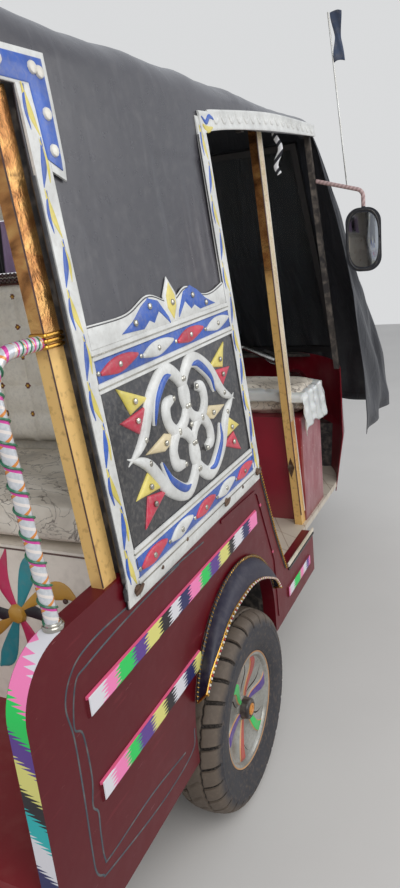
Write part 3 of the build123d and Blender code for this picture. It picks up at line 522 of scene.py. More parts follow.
    def copies(self, shape: "Batch", origins: Array, frames: Array | None = None,
               finish: int | None = None) -> None:
        """Add one shape at many places.

        Args:
            shape: The shape round its own origin.
            origins: Places, one row each.
            frames: For each place the three directions of the shape's axes, as rows.
            finish: Number of the finish of all copies, or the shape's own.
        """
        base = np.concatenate(shape.points)
        if frames is None:
            frames = np.broadcast_to(np.eye(3), (len(origins), 3, 3))
        points = np.einsum("pk,nkx->npx", base, frames) + origins[:, None]
        jump = (np.arange(len(origins)) * len(base))[:, None]
        for corner, size, paint, mark in zip(shape.corners, shape.sizes, shape.finishes,
                                             shape.marks):
            self.corners.append((corner[None] + jump + self.count).reshape(-1))
            self.sizes.append(np.tile(size, len(origins)))
            self.finishes.append(np.tile(paint if finish is None else paint * 0 + finish,
                                         len(origins)))
            self.marks.append(np.tile(mark, (len(origins), 1)))
        self.points.append(points.reshape(-1, 3))
        self.count += points.size // 3

    def mesh(self, name: str, finishes: list[Paint],
             crease: float = 40.0, merge: float = 0.0) -> Piece:
        """Put the gathered faces into a mesh object.

        Args:
            name: Name of the piece.
            finishes: Its materials, in the order of their numbers.
            crease: Angle in degrees past which an edge stays sharp.
            merge: Distance within which points are made one, or 0 for none.

        Returns:
            The object, at the origin.
        """
        data = bpy.data.meshes.new(name)
        points, corners = np.concatenate(self.points), np.concatenate(self.corners)
        sizes = np.concatenate(self.sizes)
        data.vertices.add(len(points))
        data.vertices.foreach_set("co", points.astype(np.float32).ravel())
        data.loops.add(len(corners))
        data.loops.foreach_set("vertex_index", corners.astype(np.int32))
        data.polygons.add(len(sizes))
        starts = np.concatenate([[0], np.cumsum(sizes)[:-1]])
        data.polygons.foreach_set("loop_start", starts.astype(np.int32))
        data.polygons.foreach_set("material_index",
                                  np.concatenate(self.finishes).astype(np.int32))
        layer = data.uv_layers.new(name="UVMap")
        layer.data.foreach_set("uv", np.concatenate(self.marks).astype(np.float32).ravel())
        data.update(calc_edges=True)
        data.validate()
        turn_outward(data, merge)
        data.polygons.foreach_set("use_smooth", np.ones(len(data.polygons), bool))
        data.set_sharp_from_angle(angle=math.radians(crease))
        for finish in finishes:
            data.materials.append(finish)
        made = bpy.data.objects.new(name, data)
        bpy.context.scene.collection.objects.link(made)
        return made

    def place(self, name: str, slot: str, finishes: Sequence[object], *nodes: str,
              crease: float = 40.0, body: str = "body") -> Piece:
        """Make a piece of the gathered faces and let it ride on its body.

        Args:
            name: Name of the piece.
            slot: Name of its material slot.
            finishes: Its finishes or materials, in the order of their numbers.
            nodes: Names of the nodes that it replaces.
            crease: Angle in degrees past which an edge stays sharp.
            body: Name of the body.

        Returns:
            The piece.
        """
        paints = [paint if isinstance(paint, Paint) else paint.make()
                  for paint in finishes]
        return place_piece(self.mesh(name, paints, crease), body, slot, *nodes)


def round_axle(place: Point, side: int, reach: Array, radius: Array,
               angle: Array) -> Array:
    """Points at a reach along an axle, a radius from it and an angle from the top."""
    return joined(place[0] + side * reach, place[1] - radius * np.sin(angle),
                  place[2] + radius * np.cos(angle))


def turn_outward(data: bpy.types.Mesh, merge: float = 0.0) -> None:
    """Make near points one where wanted, and turn every face of a mesh outward."""
    work = bmesh.new()
    work.from_mesh(data)
    if merge > 0.0:
        bmesh.ops.remove_doubles(work, verts=work.verts, dist=merge)
    bmesh.ops.recalc_face_normals(work, faces=work.faces)
    work.to_mesh(data)
    work.free()


def thicken(piece: Piece, wall: float, offset: float = 0.0) -> None:
    """Give a sheet its wall."""
    shell = piece.modifiers.new("thickness", "SOLIDIFY")
    shell.thickness, shell.offset = wall, offset


def place_piece(piece: Piece, body: str, slot: str, *nodes: str) -> Piece:
    """Let a piece ride on a body, hide the nodes that it stands for, and log it.

    Args:
        piece: The piece.
        body: Name of the body.
        slot: Name of the material slot; not used.
        nodes: Names of the nodes that it replaces.

    Returns:
        The piece.
    """
    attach(piece, body)
    if nodes:
        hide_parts(*nodes)
    LOG.info("%s rides on %s with %d faces", piece.name, body,
             len(piece.data.polygons) if piece.type == "MESH" else 0)
    return piece


def ball(radius: float, rings: int = 4, sides: int = 7) -> Batch:
    """Small closed ball round the origin."""
    turn = np.linspace(0.12, math.pi - 0.12, rings)[:, None]
    angle = turns(sides)
    shape = Batch()
    shape.solid(radius * joined(np.sin(turn) * np.cos(angle), np.sin(turn) * np.sin(angle),
                                np.cos(turn)))
    return shape


def stud(radius: float, height: float) -> Batch:
    """Domed stud on the plane through the origin, with its top along +Z."""
    share = np.array([1.0, 1.0, 0.86, 0.5, 0.08])[:, None]
    lift = np.array([-0.3, 0.25, 0.72, 0.95, 1.0])[:, None] * height
    angle = turns(9)
    shape = Batch()
    shape.solid(joined(radius * share * np.cos(angle), radius * share * np.sin(angle), lift))
    return shape


@dataclass(frozen=True)
class Sheet2D:
    """A plane that flat artwork lies on.

    Its first number runs along the vehicle as a station, its second is a height, and a third is
    how far a point stands out of the plane.
    """

    side: int
    skin: float = SKIN
    leaning: bool = True

    def lay(self, flat: Array) -> Array:
        """Place points given as station, height and lift."""
        station, height, lift = flat[..., 0], flat[..., 1], flat[..., 2]
        over = np.maximum(0.0, height - BELT) * (1.0 if self.leaning else 0.0)
        lean = np.where(over > 0, LEAN, 0.0)
        x = self.side * (self.skin - over * math.tan(LEAN) + lift * np.cos(lean))
        return joined(x, ahead(station), height + lift * np.sin(lean))

    def frame(self, count: int) -> Array:
        """Directions of the plane's axes for copies: along, up and out."""
        lean = LEAN if self.leaning else 0.0
        out = np.array([self.side * math.cos(lean), 0.0, math.sin(lean)])
        level = np.array([0.0, 1.0, 0.0])
        return np.broadcast_to(np.stack([level, np.cross(out, level), out]), (count, 3, 3))


# Heights across a strip with rolled edges, whose outer points lie under the plane
ROLLED = np.array([-0.25, 0.3, 1.0, 1.0, 1.0, 0.3, -0.25])


@dataclass
class Applique:
    """Padded shapes sewn on a plane, gathered into one batch."""

    plane: object
    batch: Batch

    def skin(self, flat: Array, tall: Array, finish: int, **marks: Array) -> None:
        """Add a closed shape from flat points and their heights over the plane."""
        tall = np.broadcast_to(tall, flat.shape[:2])[..., None]
        self.batch.solid(self.plane.lay(np.concatenate([flat, tall], -1)), finish, **marks)

    def stroke(self, spine: list[Flat], widths: list[float], finish: int, lift: float = 0.0,
               height: float = 0.004, steps: int = 6) -> None:
        """Add a padded strip: a crowned section carried along a smooth line.

        Args:
            spine: Points of the line, as station and height.
            widths: Half widths at those points.
            finish: Number of the finish.
            lift: Distance of its foot from the plane.
            height: Height of its crown.
            steps: Steps between two points.
        """
        table = np.column_stack([np.array(spine, float), np.array(widths, float)])
        line = smooth_line(table, steps)
        ahead_of = unit(np.gradient(line[:, :2], axis=0))
        normal = np.stack([-ahead_of[:, 1], ahead_of[:, 0]], -1)
        half = np.maximum(line[:, 2], 0.0006)
        across = np.array([-1.0, -1.0, -0.93, -0.72, -0.38, 0.0, 0.38, 0.72, 0.93, 1.0, 1.0])
        crown = np.array([-0.25, 0.12, 0.45, 0.78, 0.95, 1.0, 0.95, 0.78, 0.45, 0.12, -0.25])
        flat = line[:, None, :2] + normal[:, None] * (half[:, None] * across)[..., None]
        self.skin(flat, np.minimum(height, half * 0.9)[:, None] * crown + lift, finish,
                  u=along(line[:, :2]))

    def patch(self, outline: list[Flat], finish: int, lift: float = 0.0,
              height: float = 0.004) -> None:
        """Add a padded patch: its outline drawn in ring by ring to a crowned middle.

        Args:
            outline: Corners, as station and height.
            finish: Number of the finish.
            lift: Distance of its foot from the plane.
            height: Height of its crown.
        """
        count = len(outline)
        rim = sampled(np.array(outline + outline[:1], float), np.arange(count + 1),
                      np.linspace(0, count, 5 * count, endpoint=False))
        middle = np.mean(outline, axis=0)
        share = np.array([1.0, 1.0, 0.94, 0.80, 0.5, 0.12])[:, None, None]
        crown = np.array([-0.25, 0.15, 0.55, 0.85, 1.0, 1.0])[:, None]
        self.skin(middle + (rim - middle) * share, crown * height + lift, finish)

    def band(self, corners: list[Flat], finish: int, lift: float = 0.0,
             height: float = 0.003) -> None:
        """Add a flat four-cornered panel with rolled edges.

        Args:
            corners: Lower rear, lower front, upper front and upper rear corner.
            finish: Number of the finish.
            lift: Distance of its foot from the plane.
            height: Its thickness.
        """
        a, b, c, d = np.array(corners, float)
        u = np.linspace(0.0, 1.0, 25)[:, None, None]
        v = np.array([0.0, 0.0, 0.06, 0.5, 0.94, 1.0, 1.0])[:, None]
        flat = (1 - v) * ((1 - u) * a + u * b) + v * ((1 - u) * d + u * c)
        self.skin(flat, ROLLED * height + lift, finish)

    def studs(self, places: list[Flat], radius: float, finish: int, lift: float) -> None:
        """Add domed studs at places given as station and height."""
        flat = np.column_stack([np.array(places, float), np.full(len(places), lift)])
        frames = self.plane.frame(len(places))
        self.batch.copies(stud(radius, radius * 0.55), self.plane.lay(flat), frames, finish)


@dataclass
class Camera:
    """The photograph's point of view."""

    place: Point = (-1.343, 2.22425, 1.607)
    yaw: float = 26.4
    pitch: float = 16.74
    roll: float = -5.8
    lens: float = 27.55

    def build(self) -> None:
        """Make the camera, turned by yaw, pitch and roll."""
        yaw, pitch, roll = (math.radians(angle) for angle in (self.yaw, self.pitch, self.roll))
        forward = Vector((math.sin(yaw) * math.cos(pitch), -math.cos(yaw) * math.cos(pitch),
                          -math.sin(pitch)))
        right = forward.cross(Vector((0, 0, 1))).normalized()
        up = right.cross(forward)
        turned = math.cos(roll) * right + math.sin(roll) * up
        above = -math.sin(roll) * right + math.cos(roll) * up
        data = bpy.data.cameras.new("viewpoint")
        data.sensor_width = 36.0
        data.lens = self.lens
        made = bpy.data.objects.new("viewpoint", data)
        made.matrix_world = Matrix.Translation(self.place) @ Matrix(
            (turned, above, -forward)).transposed().to_4x4()
        bpy.context.scene.collection.objects.link(made)
        bpy.context.scene.camera = made


@dataclass
class Stage:
    """Floor, world and lamps."""

    floor_half: float = 9.0
    floor_colour: Colour = (0.62, 0.60, 0.57)
    sky: Colour = (0.80, 0.83, 0.88)

    def build(self) -> None:
        """Make the pale floor, an even sky and soft lamps."""
        bpy.context.scene.view_settings.view_transform = "Standard"
        batch = Batch()
        side = np.linspace(-self.floor_half, self.floor_half, 3)
        batch.grid(joined(side[:, None], side, 0.0))
        graph = Graph("pale_floor")
        shade = graph.ramp(graph.noise(1.5, 6.0), [(0.3, tuple(0.94 * c
                                                               for c in self.floor_colour)),
                                                   (0.7, self.floor_colour)])
        floor = batch.mesh("floor", [graph.finish(Base_Color=shade, Roughness=0.9)])
        if floor.data.polygons[0].normal.z < 0:
            floor.data.flip_normals()
        world = bpy.data.worlds.new("even_sky")
        bpy.context.scene.world = world
        world.use_nodes = True
        nodes, links = world.node_tree.nodes, world.node_tree.links
        back = nodes["Background"]
        ray = nodes.new("ShaderNodeLightPath")
        blend = nodes.new("ShaderNodeMixRGB")
        blend.inputs[1].default_value = (*self.sky, 1.0)
        blend.inputs[2].default_value = (0.93, 0.94, 0.95, 1.0)
        links.new(ray.outputs["Is Camera Ray"], blend.inputs[0])
        links.new(blend.outputs[0], back.inputs[0])
        back.inputs[1].default_value = 0.75
        self.lamp("sky_lamp", (-3.5, 3.5, 4.6), (0.0, 0.2, 0.6), 4.0, 150.0)
        self.lamp("side_lamp", (-4.5, -2.0, 2.6), (0.0, 0.0, 0.8), 3.0, 60.0)

    def lamp(self, name: str, place: Point, target: Point, size: float, power: float) -> None:
        """Make one square lamp that looks at a point."""
        data = bpy.data.lights.new(name, "AREA")
        data.size, data.energy = size, power
        made = bpy.data.objects.new(name, data)
        aim = Vector(target) - Vector(place)
        made.matrix_world = (Matrix.Translation(place)
                             @ aim.to_track_quat("-Z", "Y").to_matrix().to_4x4())
        bpy.context.scene.collection.objects.link(made)


class Art(IntEnum):
    """Numbers of the finishes in the sewn artwork."""

    WHITE = 0
    BLUE = 1
    RED = 2
    YELLOW = 3
    CREAM = 4
    BLACK = 5
    SILVER = 6
    RUSTY = 7


ART_FINISHES = (WHITE, BLUE, RED, YELLOW, CREAM, BLACK, SILVER, RUSTY)


@dataclass
class SideArt:
    """Padded truck-art patchwork on a canopy side: borders, bands, crest and scrolls."""

    rear: float = -0.520
    front: float = 0.240
    rear_edge: float = -0.473
    front_edge: float = 0.188
    middle: Flat = (-0.145, 1.19)
    top: float = 1.905
    hem: float = 0.913
    quarter: tuple[Flat, ...] = ((-0.285, -0.008), (-0.212, 0.030), (-0.150, 0.105),
                                 (-0.062, 0.143), (0.006, 0.085), (-0.012, 0.024),
                                 (-0.062, 0.000), (-0.097, 0.030), (-0.095, 0.067),
                                 (-0.062, 0.078))
    quarter_widths: tuple[float, ...] = (0.001, 0.015, 0.018, 0.018, 0.017, 0.016, 0.016,
                                         0.016, 0.017, 0.010)
    comma: tuple[Flat, ...] = ((-0.160, 0.042), (-0.140, 0.088), (-0.090, 0.127),
                               (-0.052, 0.131))
    wing_edge: tuple[Flat, ...] = (
        (0.232, -0.014), (0.180, 0.006), (0.140, 0.030), (0.104, 0.044), (0.062, 0.034),
        (0.026, -0.006), (0.020, -0.022), (0.040, -0.010), (0.064, 0.010), (0.092, -0.012),
        (0.112, -0.004), (0.140, -0.018))

    def build(self) -> None:
        """Make the artwork of both sides."""
        for side, hand in SIDES:
            art = Applique(Sheet2D(side), Batch())
            self.borders(art)
            self.crest(art)
            self.leaf_band(art, 1.3835, 0.0215, 4, 0.010)
            self.leaf_band(art, 0.9795, 0.0225, 5, 0.0)
            self.motif(art)
            art.batch.place("side_art_" + hand, "cream_vinyl", ART_FINISHES)

    def strip(self, art: Applique, low: float, high: float, finish: Art, rise: float = 0.0,
              lift: float = 0.002) -> None:
        """Add a level strip between the borders, which may rise to the front."""
        art.band([(self.rear_edge - 0.004, low), (self.front_edge + 0.004, low + rise),
                  (self.front_edge + 0.004, high + rise), (self.rear_edge - 0.004, high)],
                 finish, lift)

    def borders(self, art: Applique) -> None:
        """Add the two upright borders with slim leaves, the hem and the black field."""
        field_low, field_high = 1.018, 1.345
        art.band([(self.rear_edge, field_low), (self.front_edge, field_low),
                  (self.front_edge, field_high + 0.01), (self.rear_edge, field_high)],
                 Art.BLACK, 0.0, 0.003)
        for rear, front in ((self.rear, self.rear_edge), (self.front_edge, self.front)):
            art.band([(rear, self.hem), (front, self.hem), (front, self.top),
                      (rear, self.top)], Art.WHITE, 0.0015, 0.004)
            half = (front - rear) / 2
            centre = (front + rear) / 2
            count = 11
            pitch = (self.top - self.hem - 0.06) / count
            for step in range(count):
                low = self.hem + 0.04 + step * pitch
                sway = 0.45 * half * (1 if step % 2 else -1)
                art.stroke([(centre - sway, low), (centre + sway * 0.3, low + pitch * 0.45),
                            (centre + sway, low + pitch * 0.98)], [0.001, half * 0.34, 0.001],
                           Art.BLUE if step % 2 else Art.YELLOW, 0.005, 0.0015)
                art.stroke([(centre + sway, low + pitch * 0.1),
                            (centre + sway * 1.3, low + pitch * 0.5),
                            (centre + sway * 0.5, low + pitch * 0.95)],
                           [0.001, half * 0.20, 0.001], Art.YELLOW if step % 2 else Art.BLUE,
                           0.005, 0.0015)
        self.strip(art, self.hem, 0.957, Art.WHITE)
        turn_buttons = [(-0.487, 0.940), (-0.020, 0.943), (0.218, 0.943)]
        art.studs(turn_buttons, 0.011, Art.RUSTY, 0.006)
        for station, height in turn_buttons:
            art.stroke([(station - 0.016, height - 0.004), (station, height),
                        (station + 0.016, height + 0.006)], [0.003, 0.0055, 0.003],
                       Art.RUSTY, 0.011, 0.005)
        art.studs([(-0.254, 0.945), (-0.379, 0.936), (0.10, 0.940)], 0.005,
                  Art.RUSTY, 0.006)

    def leaf_band(self, art: Applique, middle: float, half: float, count: int,
                  rise: float) -> None:
        """Add a blue band of bulging leaves between two double white strips.

        Args:
            art: The artwork.
            middle: Height of the band's middle at the rear.
            half: Half its height.
            count: Number of leaves.
            rise: How much it rises to the front.
        """
        self.strip(art, middle - half, middle + half, Art.BLUE, rise)
        for low in (middle - half - 0.0205, middle + half):
            self.strip(art, low, low + 0.0205, Art.WHITE, rise, 0.0035)
            self.strip(art, low + 0.008, low + 0.0115, Art.SILVER, rise, 0.0045)
        length = self.front_edge - self.rear_edge
        pitch = length / count
        spots: list[Flat] = []
        beads: list[Flat] = []
        for step in range(count):
            start = self.rear_edge + step * pitch
            level = middle + rise * (start + pitch / 2 - self.rear_edge) / length
            tilt = 0.006
            art.stroke([(start + 0.014, level - tilt), (start + pitch * 0.3, level - 0.002),
                        (start + pitch * 0.52, level), (start + pitch * 0.78, level + 0.004),
                        (start + pitch * 0.98, level + tilt)],
                       [0.004, half * 0.62, half * 0.80, half * 0.55, 0.003],
                       Art.WHITE if step % 2 else Art.RED, 0.004, 0.005)
            spots.append((start + pitch * 0.5, level))
            beads.append((start + 0.006, level - tilt * 0.6))
        art.studs(spots, 0.0065, Art.SILVER, 0.0085)
        art.studs(beads, 0.0055, Art.SILVER, 0.005)

    def crest(self, art: Applique) -> None:
        """Add the white crest with two humps, blue wings and a yellow leaf."""
        u = np.linspace(0.0, 1.0, 90)
        station = self.rear_edge + u * (self.front_edge - self.rear_edge)
        humps = ((-0.222, 0.070, 0.030), (-0.035, 0.058, 0.030), (0.205, 0.070, 0.020))
        top = 1.472 + sum(height * np.exp(-((station - place) / width) ** 2)
                          for place, width, height in humps)
        low = 1.4245 + 0.010 * u
        v = np.array([0.0, 0.0, 0.05, 0.5, 0.90, 1.0, 1.0])
        art.skin(joined(station[:, None], low[:, None] + (top - low)[:, None] * v),
                 ROLLED * 0.003 + 0.002, Art.WHITE)
        edge = list(zip(station[::4], top[::4] - 0.004))
        art.stroke(edge, [0.0013] * len(edge), Art.BLACK, 0.0045, 0.001, 2)
        for mirror, root in ((1, -0.125), (-1, -0.118)):
            self.wing(art, [(root - mirror * a, 1.452 + b + 0.006 * (mirror < 0))
                            for a, b in self.wing_edge])
            art.studs([(root - mirror * 0.105, 1.478), (root - mirror * 0.175, 1.452)], 0.0075,
                      Art.SILVER, 0.0075)
        art.patch([(-0.125, 1.430), (-0.158, 1.462), (-0.158, 1.492), (-0.125, 1.532),
                   (-0.094, 1.494), (-0.094, 1.464)], Art.WHITE, 0.003, 0.004)
        art.patch([(-0.125, 1.436), (-0.148, 1.464), (-0.147, 1.490), (-0.125, 1.520),
                   (-0.104, 1.490), (-0.104, 1.464)], Art.YELLOW, 0.006, 0.0025)
        art.studs([(-0.125, 1.474)], 0.0075, Art.SILVER, 0.0085)

    def wing(self, art: Applique, points: list[Flat]) -> None:
        """Add a blue wing as a patch whose two edges are joined straight across."""
        rim, u = np.array(points), np.linspace(0, 5, 26)
        top = sampled(rim[:6], np.arange(6), u)
        low = sampled(rim[[0, 11, 10, 9, 8, 6]], np.arange(6), u)
        v = np.array([0.0, 0.0, 0.08, 0.5, 0.92, 1.0, 1.0])[:, None]
        crown = np.array([-0.25, 0.3, 1.0, 1.1, 1.0, 0.3, -0.25]) * 0.0025 + 0.004
        art.skin(low[:, None] * (1 - v) + top[:, None] * v, crown, Art.BLUE)

    def motif(self, art: Applique) -> None:
        """Add the four scrolls with commas, triangles and drops round the middle."""
        cx, cz = self.middle
        spots: list[Flat] = []
        for turn_s in (1, -1):
            for turn_z in (1, -1):
                def at(point: Flat) -> Flat:
                    """Place a quarter's point by its two mirror turns."""
                    return (cx + turn_s * point[0], cz + turn_z * point[1])
                art.stroke([at(p) for p in self.quarter], list(self.quarter_widths),
                           Art.WHITE, 0.003, 0.009, 7)
                art.stroke([at(p) for p in self.comma], [0.004, 0.013, 0.014, 0.005],
                           Art.WHITE, 0.004, 0.010, 6)
                art.stroke([at(p) for p in self.comma], [0.001, 0.009, 0.010, 0.001],
                           Art.BLUE, 0.0095, 0.006, 6)
                first = Art.YELLOW if turn_z > 0 else Art.RED
                other = Art.RED if turn_z > 0 else Art.YELLOW
                art.patch([at((-0.272, 0.150)), at((-0.158, 0.104)), at((-0.240, 0.088))],
                          first, 0.003, 0.005)
                art.patch([at((-0.285, 0.082)), at((-0.172, 0.092)), at((-0.222, 0.042))],
                          other, 0.003, 0.005)
                spots += [at((-0.222, 0.112)), at((-0.226, 0.072)), at((-0.062, 0.078)),
                          at((-0.004, 0.110)), at((-0.212, 0.026)), at((-0.062, 0.002)),
                          at((-0.006, 0.045)), at((-0.118, 0.112))]
            art.patch([(cx - turn_s * 0.215, cz - 0.006), (cx - turn_s * 0.122, cz + 0.014),
                       (cx - turn_s * 0.092, cz + 0.004), (cx - turn_s * 0.110, cz - 0.018),
                       (cx - turn_s * 0.135, cz - 0.024)], Art.CREAM, 0.003, 0.005)
            spots.append((cx - turn_s * 0.130, cz - 0.006))
        art.patch([(cx, cz - 0.020), (cx + 0.017, cz), (cx, cz + 0.020), (cx - 0.017, cz)],
                  Art.BLACK, 0.003, 0.006)
        spots.append((cx, cz))
        art.studs(spots, 0.0068, Art.SILVER, 0.0105)


@dataclass
class Wheel:
    """A lugged tyre on a pressed wheel with painted ribs between hollow petals."""

    name: str
    middle: Point
    out: int
    lugs: int = 30
    groove: float = 0.0095
    face: float = 0.0470
    dish: float = 0.013
    hollow: float = 0.0105
    cap: float = 0.0145
    sheet: float = 0.005
    ribs: int = 6
    lead: float = 0.45
    proud: float = 0.0045

    def build(self) -> None:
        """Make the tyre and the wheel, which ride on the wheel's body."""
        body = self.name + "_wheel"
        tyre = Batch()
        self.tread(tyre)
        tyre.place(self.name + "_lugged_tyre", "tyre_rubber", [rubber(), GROOVE_DARK],
                   self.name + "_tyre", crease=32.0, body=body)
        wheel = Batch()
        self.disc(wheel)
        self.hub(wheel)
        paints = [RIM_SILVER, RIM_RED, RIM_PURPLE, RIM_GREEN, RIM_TAN, PAINTED_SLIT_SHADE, HUB_BLACK, HUB_ORANGE]
        wheel.place(self.name + "_painted_wheel", "rim_silver", paints, self.name + "_rim",
                    crease=38.0, body=body)

    def tread(self, batch: Batch) -> None:
        """Add the tyre: its outline turned round the axle, with grooves cut along its normal.

        A groove's depth is a bell of the lug's own phase on each shoulder, and of the distance
        to a wavy ring on each side of the middle rib.
        """
        half = np.array([
            (0.0500, 0.1605), (0.0565, 0.1660), (0.0600, 0.1690), (0.0605, 0.1720),
            (0.0650, 0.1800), (0.0695, 0.1960), (0.0722, 0.2120), (0.0730, 0.2260),
            (0.0726, 0.2360), (0.0734, 0.2385), (0.0726, 0.2410), (0.0716, 0.2480),
            (0.0700, 0.2550), (0.0676, 0.2615), (0.0640, 0.2672), (0.0590, 0.2720),
            (0.0530, 0.2758), (0.0460, 0.2790), (0.0390, 0.2814), (0.0335, 0.2829),
            (0.0310, 0.2835), (0.0280, 0.2841), (0.0245, 0.2846), (0.0220, 0.2850),
            (0.0130, 0.2856), (0.0, 0.2860)])
        profile = np.vstack([half, half[-2::-1] * (-1, 1)])
        width, radius = profile.T
        run = np.gradient(profile, axis=0)
        normal = unit(np.column_stack([run[:, 1], -run[:, 0]]))
        normal *= np.sign(normal[:, 1:] + 1e-9 + (np.abs(normal[:, 1:]) < 0.02)
                          * np.sign(width[:, None] * normal[:, :1]))
        phases = np.array([0.0, 0.12, 0.25, 0.36, 0.395, 0.415, 0.435, 0.50, 0.565, 0.585,
                           0.605, 0.64, 0.75, 0.88])
        turn = (np.arange(self.lugs)[:, None] + phases).reshape(-1, 1)
        phase = np.broadcast_to(phases, (self.lugs, len(phases))).reshape(-1, 1)
        wave = np.abs((phase * 2.0) % 1.0 - 0.5) - 0.25
        slot = 1.0 - step_up(np.abs(phase - 0.5), 0.070, 0.100)
        sipe = 1.0 - step_up(np.abs((phase + 0.25) % 1.0 - 0.12), 0.02, 0.05)
        shoulder = step_up(np.abs(width), 0.026, 0.031) * step_up(radius, 0.2385, 0.2630)
        ring = np.exp(-((np.abs(width) - 0.0262) / 0.0030) ** 2)
        rib = 1.0 - step_up(np.abs(width), 0.016, 0.022)
        depth = np.maximum(self.groove * slot * shoulder,
                           np.maximum(0.0065 * ring, 0.0035 * sipe * rib))
        slant = 0.25 * np.tanh(width / 0.012) + 2.6 * np.clip(np.abs(width) - 0.03, 0, 0.05) \
            * np.sign(width)
        side_shift = wave * 0.006 * np.exp(-((np.abs(width) - 0.0262) / 0.008) ** 2)
        across = (width + side_shift) - normal[:, 0] * depth * 0.4
        deep = radius - np.abs(normal[:, 1]) * depth - 0.25 * depth
        angle = (turn + slant) * (2 * math.pi / self.lugs)
        points = round_axle(self.middle, self.out, across, deep, angle)
        low = (depth[:, :-1] + depth[:, 1:]) / 2
        low = (low + np.roll(low, -1, axis=0)) / 2
        low = np.concatenate([low, 0 * low[:, :1]], axis=1)
        # Faces deeper than 3.8 mm in the grooves take the darker groove finish
        paint = (low > 0.0038).astype(int).reshape(-1)
        batch.grid(points, paint, round_u=True, round_v=True,
                   u=np.linspace(0.0, 30.0, len(turn) + 1), v=np.append(radius, radius[0]))

    def disc(self, batch: Batch) -> None:
        """Add the dished disc: ribs, hollows and curved slits, whose borders are grid lines.

        Each sixth of the turn has the same row of nodes: half a rib, a tan line, the hollow on
        both sides of its slit, a tan line and half the next rib. The depth is a cone plus the
        rib's height, less a bell across the hollow. The slit's faces take a near black finish,
        which is painted shade in the crease.
        """
        radius = np.concatenate([np.linspace(0.034, 0.140, 24), [0.144, 0.148, 0.150]])
        share = np.clip((radius - 0.034) / 0.114, 0.0, 1.0)
        sector = 2 * math.pi / self.ribs
        half = (0.0048 + 0.0118 * share) / radius
        line_out = half + 0.0022 / radius
        mark = line_out + (sector - 2 * line_out) * (0.62 + 0.20 * np.sin(math.pi * share))
        gap = 0.0021 / radius * np.sin(math.pi * np.clip((share - 0.1) / 0.84, 0.0, 1.0)) ** 0.5
        before, after = np.linspace(0.0, 1.0, 11)[:, None], np.linspace(0.0, 1.0, 8)[:, None]
        first = line_out + (mark - gap - line_out) * before
        second = mark + gap + (sector - line_out - mark - gap) * after
        nodes = np.concatenate([[0 * half, 0.6 * half, 0.96 * half, half], first, [mark], second,
                                [sector - half, sector - 0.96 * half, sector - 0.6 * half]])
        hollow = np.clip((nodes - line_out) / (sector - 2 * line_out), 0.0, 1.0)
        fade = np.sin(math.pi * np.clip(share, 0.03, 0.97)) ** 0.6
        height = -self.hollow * np.sin(math.pi * hollow ** 0.75) ** 0.9 * fade
        height[:3] += self.proud
        height[[3, -3]] += self.proud * 2 / 3
        height[-2:] += self.proud
        height[15] -= 0.006 * (gap > 0)
        edge = step_up(radius, 0.138, 0.150)
        bow = self.lead + 0.16 * np.sin(math.pi * share) * share
        start = np.arange(self.ribs)[:, None, None] * sector
        angle = (start + nodes[None] + bow).reshape(-1, len(radius))
        cone = -self.dish * (1.0 - step_up(radius, 0.040, 0.150))
        reach = self.face + cone + np.tile(height * (1 - edge), (self.ribs, 1))
        front, back = (round_axle(self.middle, self.out, face, radius, angle)
                       for face in (reach, reach - self.sheet))
        row = np.zeros((len(nodes), 2 * len(radius)), int)
        row[3], row[-4] = 4, 4
        # Painted shade: the faces on both sides of each slit take the near black slit finish
        row[14:16, 3:len(radius) - 3] = 5
        paint = np.tile(row, (self.ribs, 1, 1))
        for sixth in range(self.ribs):
            paint[sixth, :3] = 1 + sixth % 3
            paint[sixth, -3:] = 1 + (sixth + 1) % 3
        paint[:, :, len(radius) - 2:] = 0
        batch.grid(np.concatenate([front, back[:, ::-1]], axis=1), paint.reshape(-1),
                   round_u=True, round_v=True)

    def hub(self, batch: Batch) -> None:
        """Add the barrel with its two lips, the tan rim line, the hub and its capped end."""
        lip = [(-0.056, 0.1655), (-0.056, 0.146), (-0.050, 0.143), (0.034, 0.1445),
               (0.047, 0.1485), (0.0545, 0.154), (0.0560, 0.1600), (0.0560, 0.1645),
               (0.0535, 0.1655), (0.0520, 0.1640), (0.0500, 0.1560), (0.0420, 0.1515),
               (0.000, 0.1500), (-0.046, 0.1515), (-0.052, 0.164)]
        line = [(0.0562 + 0.0016 * math.cos(a), 0.1636 + 0.0022 * math.sin(a)) for a in turns(8)]
        foot = self.face - self.dish - 0.002
        end = self.face + self.cap
        hub = [(foot - 0.050, 0.008), (foot - 0.050, 0.041), (foot - 0.006, 0.042),
               (foot + 0.001, 0.040), (foot + 0.004, 0.034), (foot + 0.004, 0.008)]
        cap = [(foot, 0.006), (foot, 0.0315), (end - 0.008, 0.0300), (end - 0.003, 0.0285),
               (end - 0.0005, 0.0250), (end - 0.0005, 0.0190), (end - 0.003, 0.0180),
               (end - 0.003, 0.006)]
        ring = [(end - 0.004, 0.0172), (end + 0.0012, 0.0165), (end + 0.0022, 0.0145),
                (end + 0.0018, 0.0105), (end - 0.0005, 0.0090), (end - 0.003, 0.0088)]
        button = [(end - 0.004, 0.001), (end - 0.004, 0.0080), (end - 0.001, 0.0078),
                  (end + 0.0008, 0.0055), (end + 0.0012, 0.001)]
        for profile, steps, finish, closed in (
                (lip, 96, 0, True), (line, 96, 4, True), (hub, 48, 0, False),
                (cap, 48, 6, False), (ring, 40, 7, True), (button, 32, 7, False)):
            batch.turned(profile, self.middle, self.out, steps, finish, closed)


